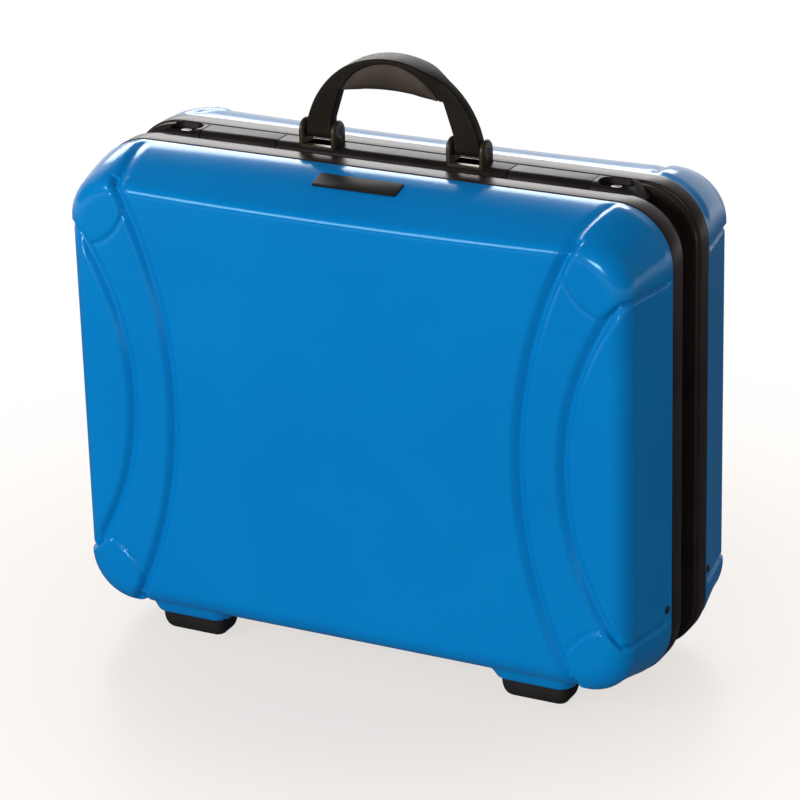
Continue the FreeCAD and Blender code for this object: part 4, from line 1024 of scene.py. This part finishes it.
camera_data = bpy.data.cameras.new("camera")
camera_data.sensor_width = sensor
camera_data.lens = fit_focal / image_size * sensor
camera_data.shift_x = 0.5 - fit_centre[0] / image_size
camera_data.shift_y = fit_centre[1] / image_size - 0.5
camera = add_object("camera", camera_data)
camera_axes = Matrix((right, upward, back)).transposed().to_4x4()
camera.matrix_world = Matrix.Translation(target + back * fit_distance) @ camera_axes
bpy.context.scene.camera = camera


def soft_box(name, place, size, power):
    """A soft box that faces the middle of the case."""
    data = bpy.data.lights.new(name, "AREA")
    data.shape = "RECTANGLE"
    data.size, data.size_y = size
    data.energy = power
    lamp = add_object(name, data)
    aim = (target - Vector(place)).to_track_quat("-Z", "Y")
    lamp.matrix_world = Matrix.Translation(Vector(place)) @ aim.to_matrix().to_4x4()


soft_box("front_light", (0.2, -3.2, 0.9), (0.7, 0.5), 32)
soft_box("key_light", (-1.5, -2.4, 1.5), (1.2, 0.8), 34)
soft_box("back_light", (-0.75, 1.3, 0.9), (1.5, 0.5), 13)


def either(first, second):
    return first.maths("MAXIMUM", first, second)


def ray(start, kind):
    return start.node("ShaderNodeLightPath", output=f"Is {kind} Ray")


def studio_world():
    """Soft surround: white to the camera; in reflections white behind on the left and dark elsewhere."""
    world = bpy.data.worlds.new("studio")
    world.use_nodes = True
    shader = world.node_tree.nodes["Background"]
    start = Shade(world.node_tree)
    way = start.node("ShaderNodeTexCoord", output="Generated")

    def along(axis):
        return start.node("ShaderNodeSeparateXYZ", {}, {"Vector": way}, output=axis)

    behind, high, aside = along("Y").ramp(-0.2, 0.5), along("Z").ramp(0.4, 0.75), along("X").ramp(0.05, 0.45)
    surround = 0.05 + 0.95 * behind * (1 - high) * (1 - 0.85 * aside)
    mirrored = either(ray(start, "Glossy"), ray(start, "Transmission"))
    other = fill_light + mirrored * (surround - fill_light)
    strength = other + ray(start, "Camera") * (1 - other)
    world.node_tree.links.new(strength.socket, shader.inputs["Strength"])
    shader.inputs["Color"].default_value = (1, 1, 1, 1)
    bpy.context.scene.world = world


def studio_floor():
    """Pale floor with the shadow: clear away from the case and from below, dark near it in reflections, and
    darker and warmer close to the case as painted shade.
    """
    material = bpy.data.materials.new("studio_floor")
    material.use_nodes = True
    tree = material.node_tree
    start = Shade(tree)
    shader = tree.nodes["Principled BSDF"]
    shader.inputs["Base Color"].default_value = (0.55, 0.51, 0.47, 1)
    shader.inputs["Roughness"].default_value = 0.35
    place = start.node("ShaderNodeTexCoord", output="Object")
    away = start.node("ShaderNodeVectorMath", {"operation": "LENGTH"}, {0: place}, output="Value")
    mirrored = either(ray(start, "Glossy"), ray(start, "Transmission"))
    shine = away.ramp(0.9, 2.5).blend((0.05, 0.06, 0.08), (1, 1, 1))
    glow = start.node("ShaderNodeEmission", {}, {"Color": shine})
    plain = Shade(tree, shader.outputs["BSDF"])
    pale = start.node("ShaderNodeMixShader", {}, {"Fac": mirrored, 1: plain, 2: glow})
    below = start.node("ShaderNodeNewGeometry", output="Backfacing")
    # Painted shade: close to the case less of the floor is clear to the camera, so it shows darker there
    # where it is lit as well as in the real shadow.
    clear_with_painted_shade = ray(start, "Camera") * (0.7 + 0.3 * away.ramp(0.14, 0.5))
    through = either(clear_with_painted_shade, either(ray(start, "Shadow"), below))
    # Painted shade: the clear part of the floor is tinted warm near the case, standing in for the warm colour
    # of the shadow there.
    painted_warm_shade = away.ramp(0.3, 0.7).blend((1, 0.965, 0.93), (1, 1, 1))
    clear = start.node("ShaderNodeBsdfTransparent", {}, {"Color": painted_warm_shade})
    floor_mix = start.node("ShaderNodeMixShader", {}, {"Fac": through, 1: pale, 2: clear})
    tree.links.new(floor_mix.socket, tree.nodes["Material Output"].inputs["Surface"])
    return material


floor_reach = 6
corners = [(x * floor_reach, y * floor_reach, 0) for x, y in ((-1, -1), (1, -1), (1, 1), (-1, 1))]
floor = make_piece("studio_floor", corners, [(0, 1, 2, 3)], studio_floor())
studio_world()
bpy.context.scene.view_settings.view_transform = "Standard"
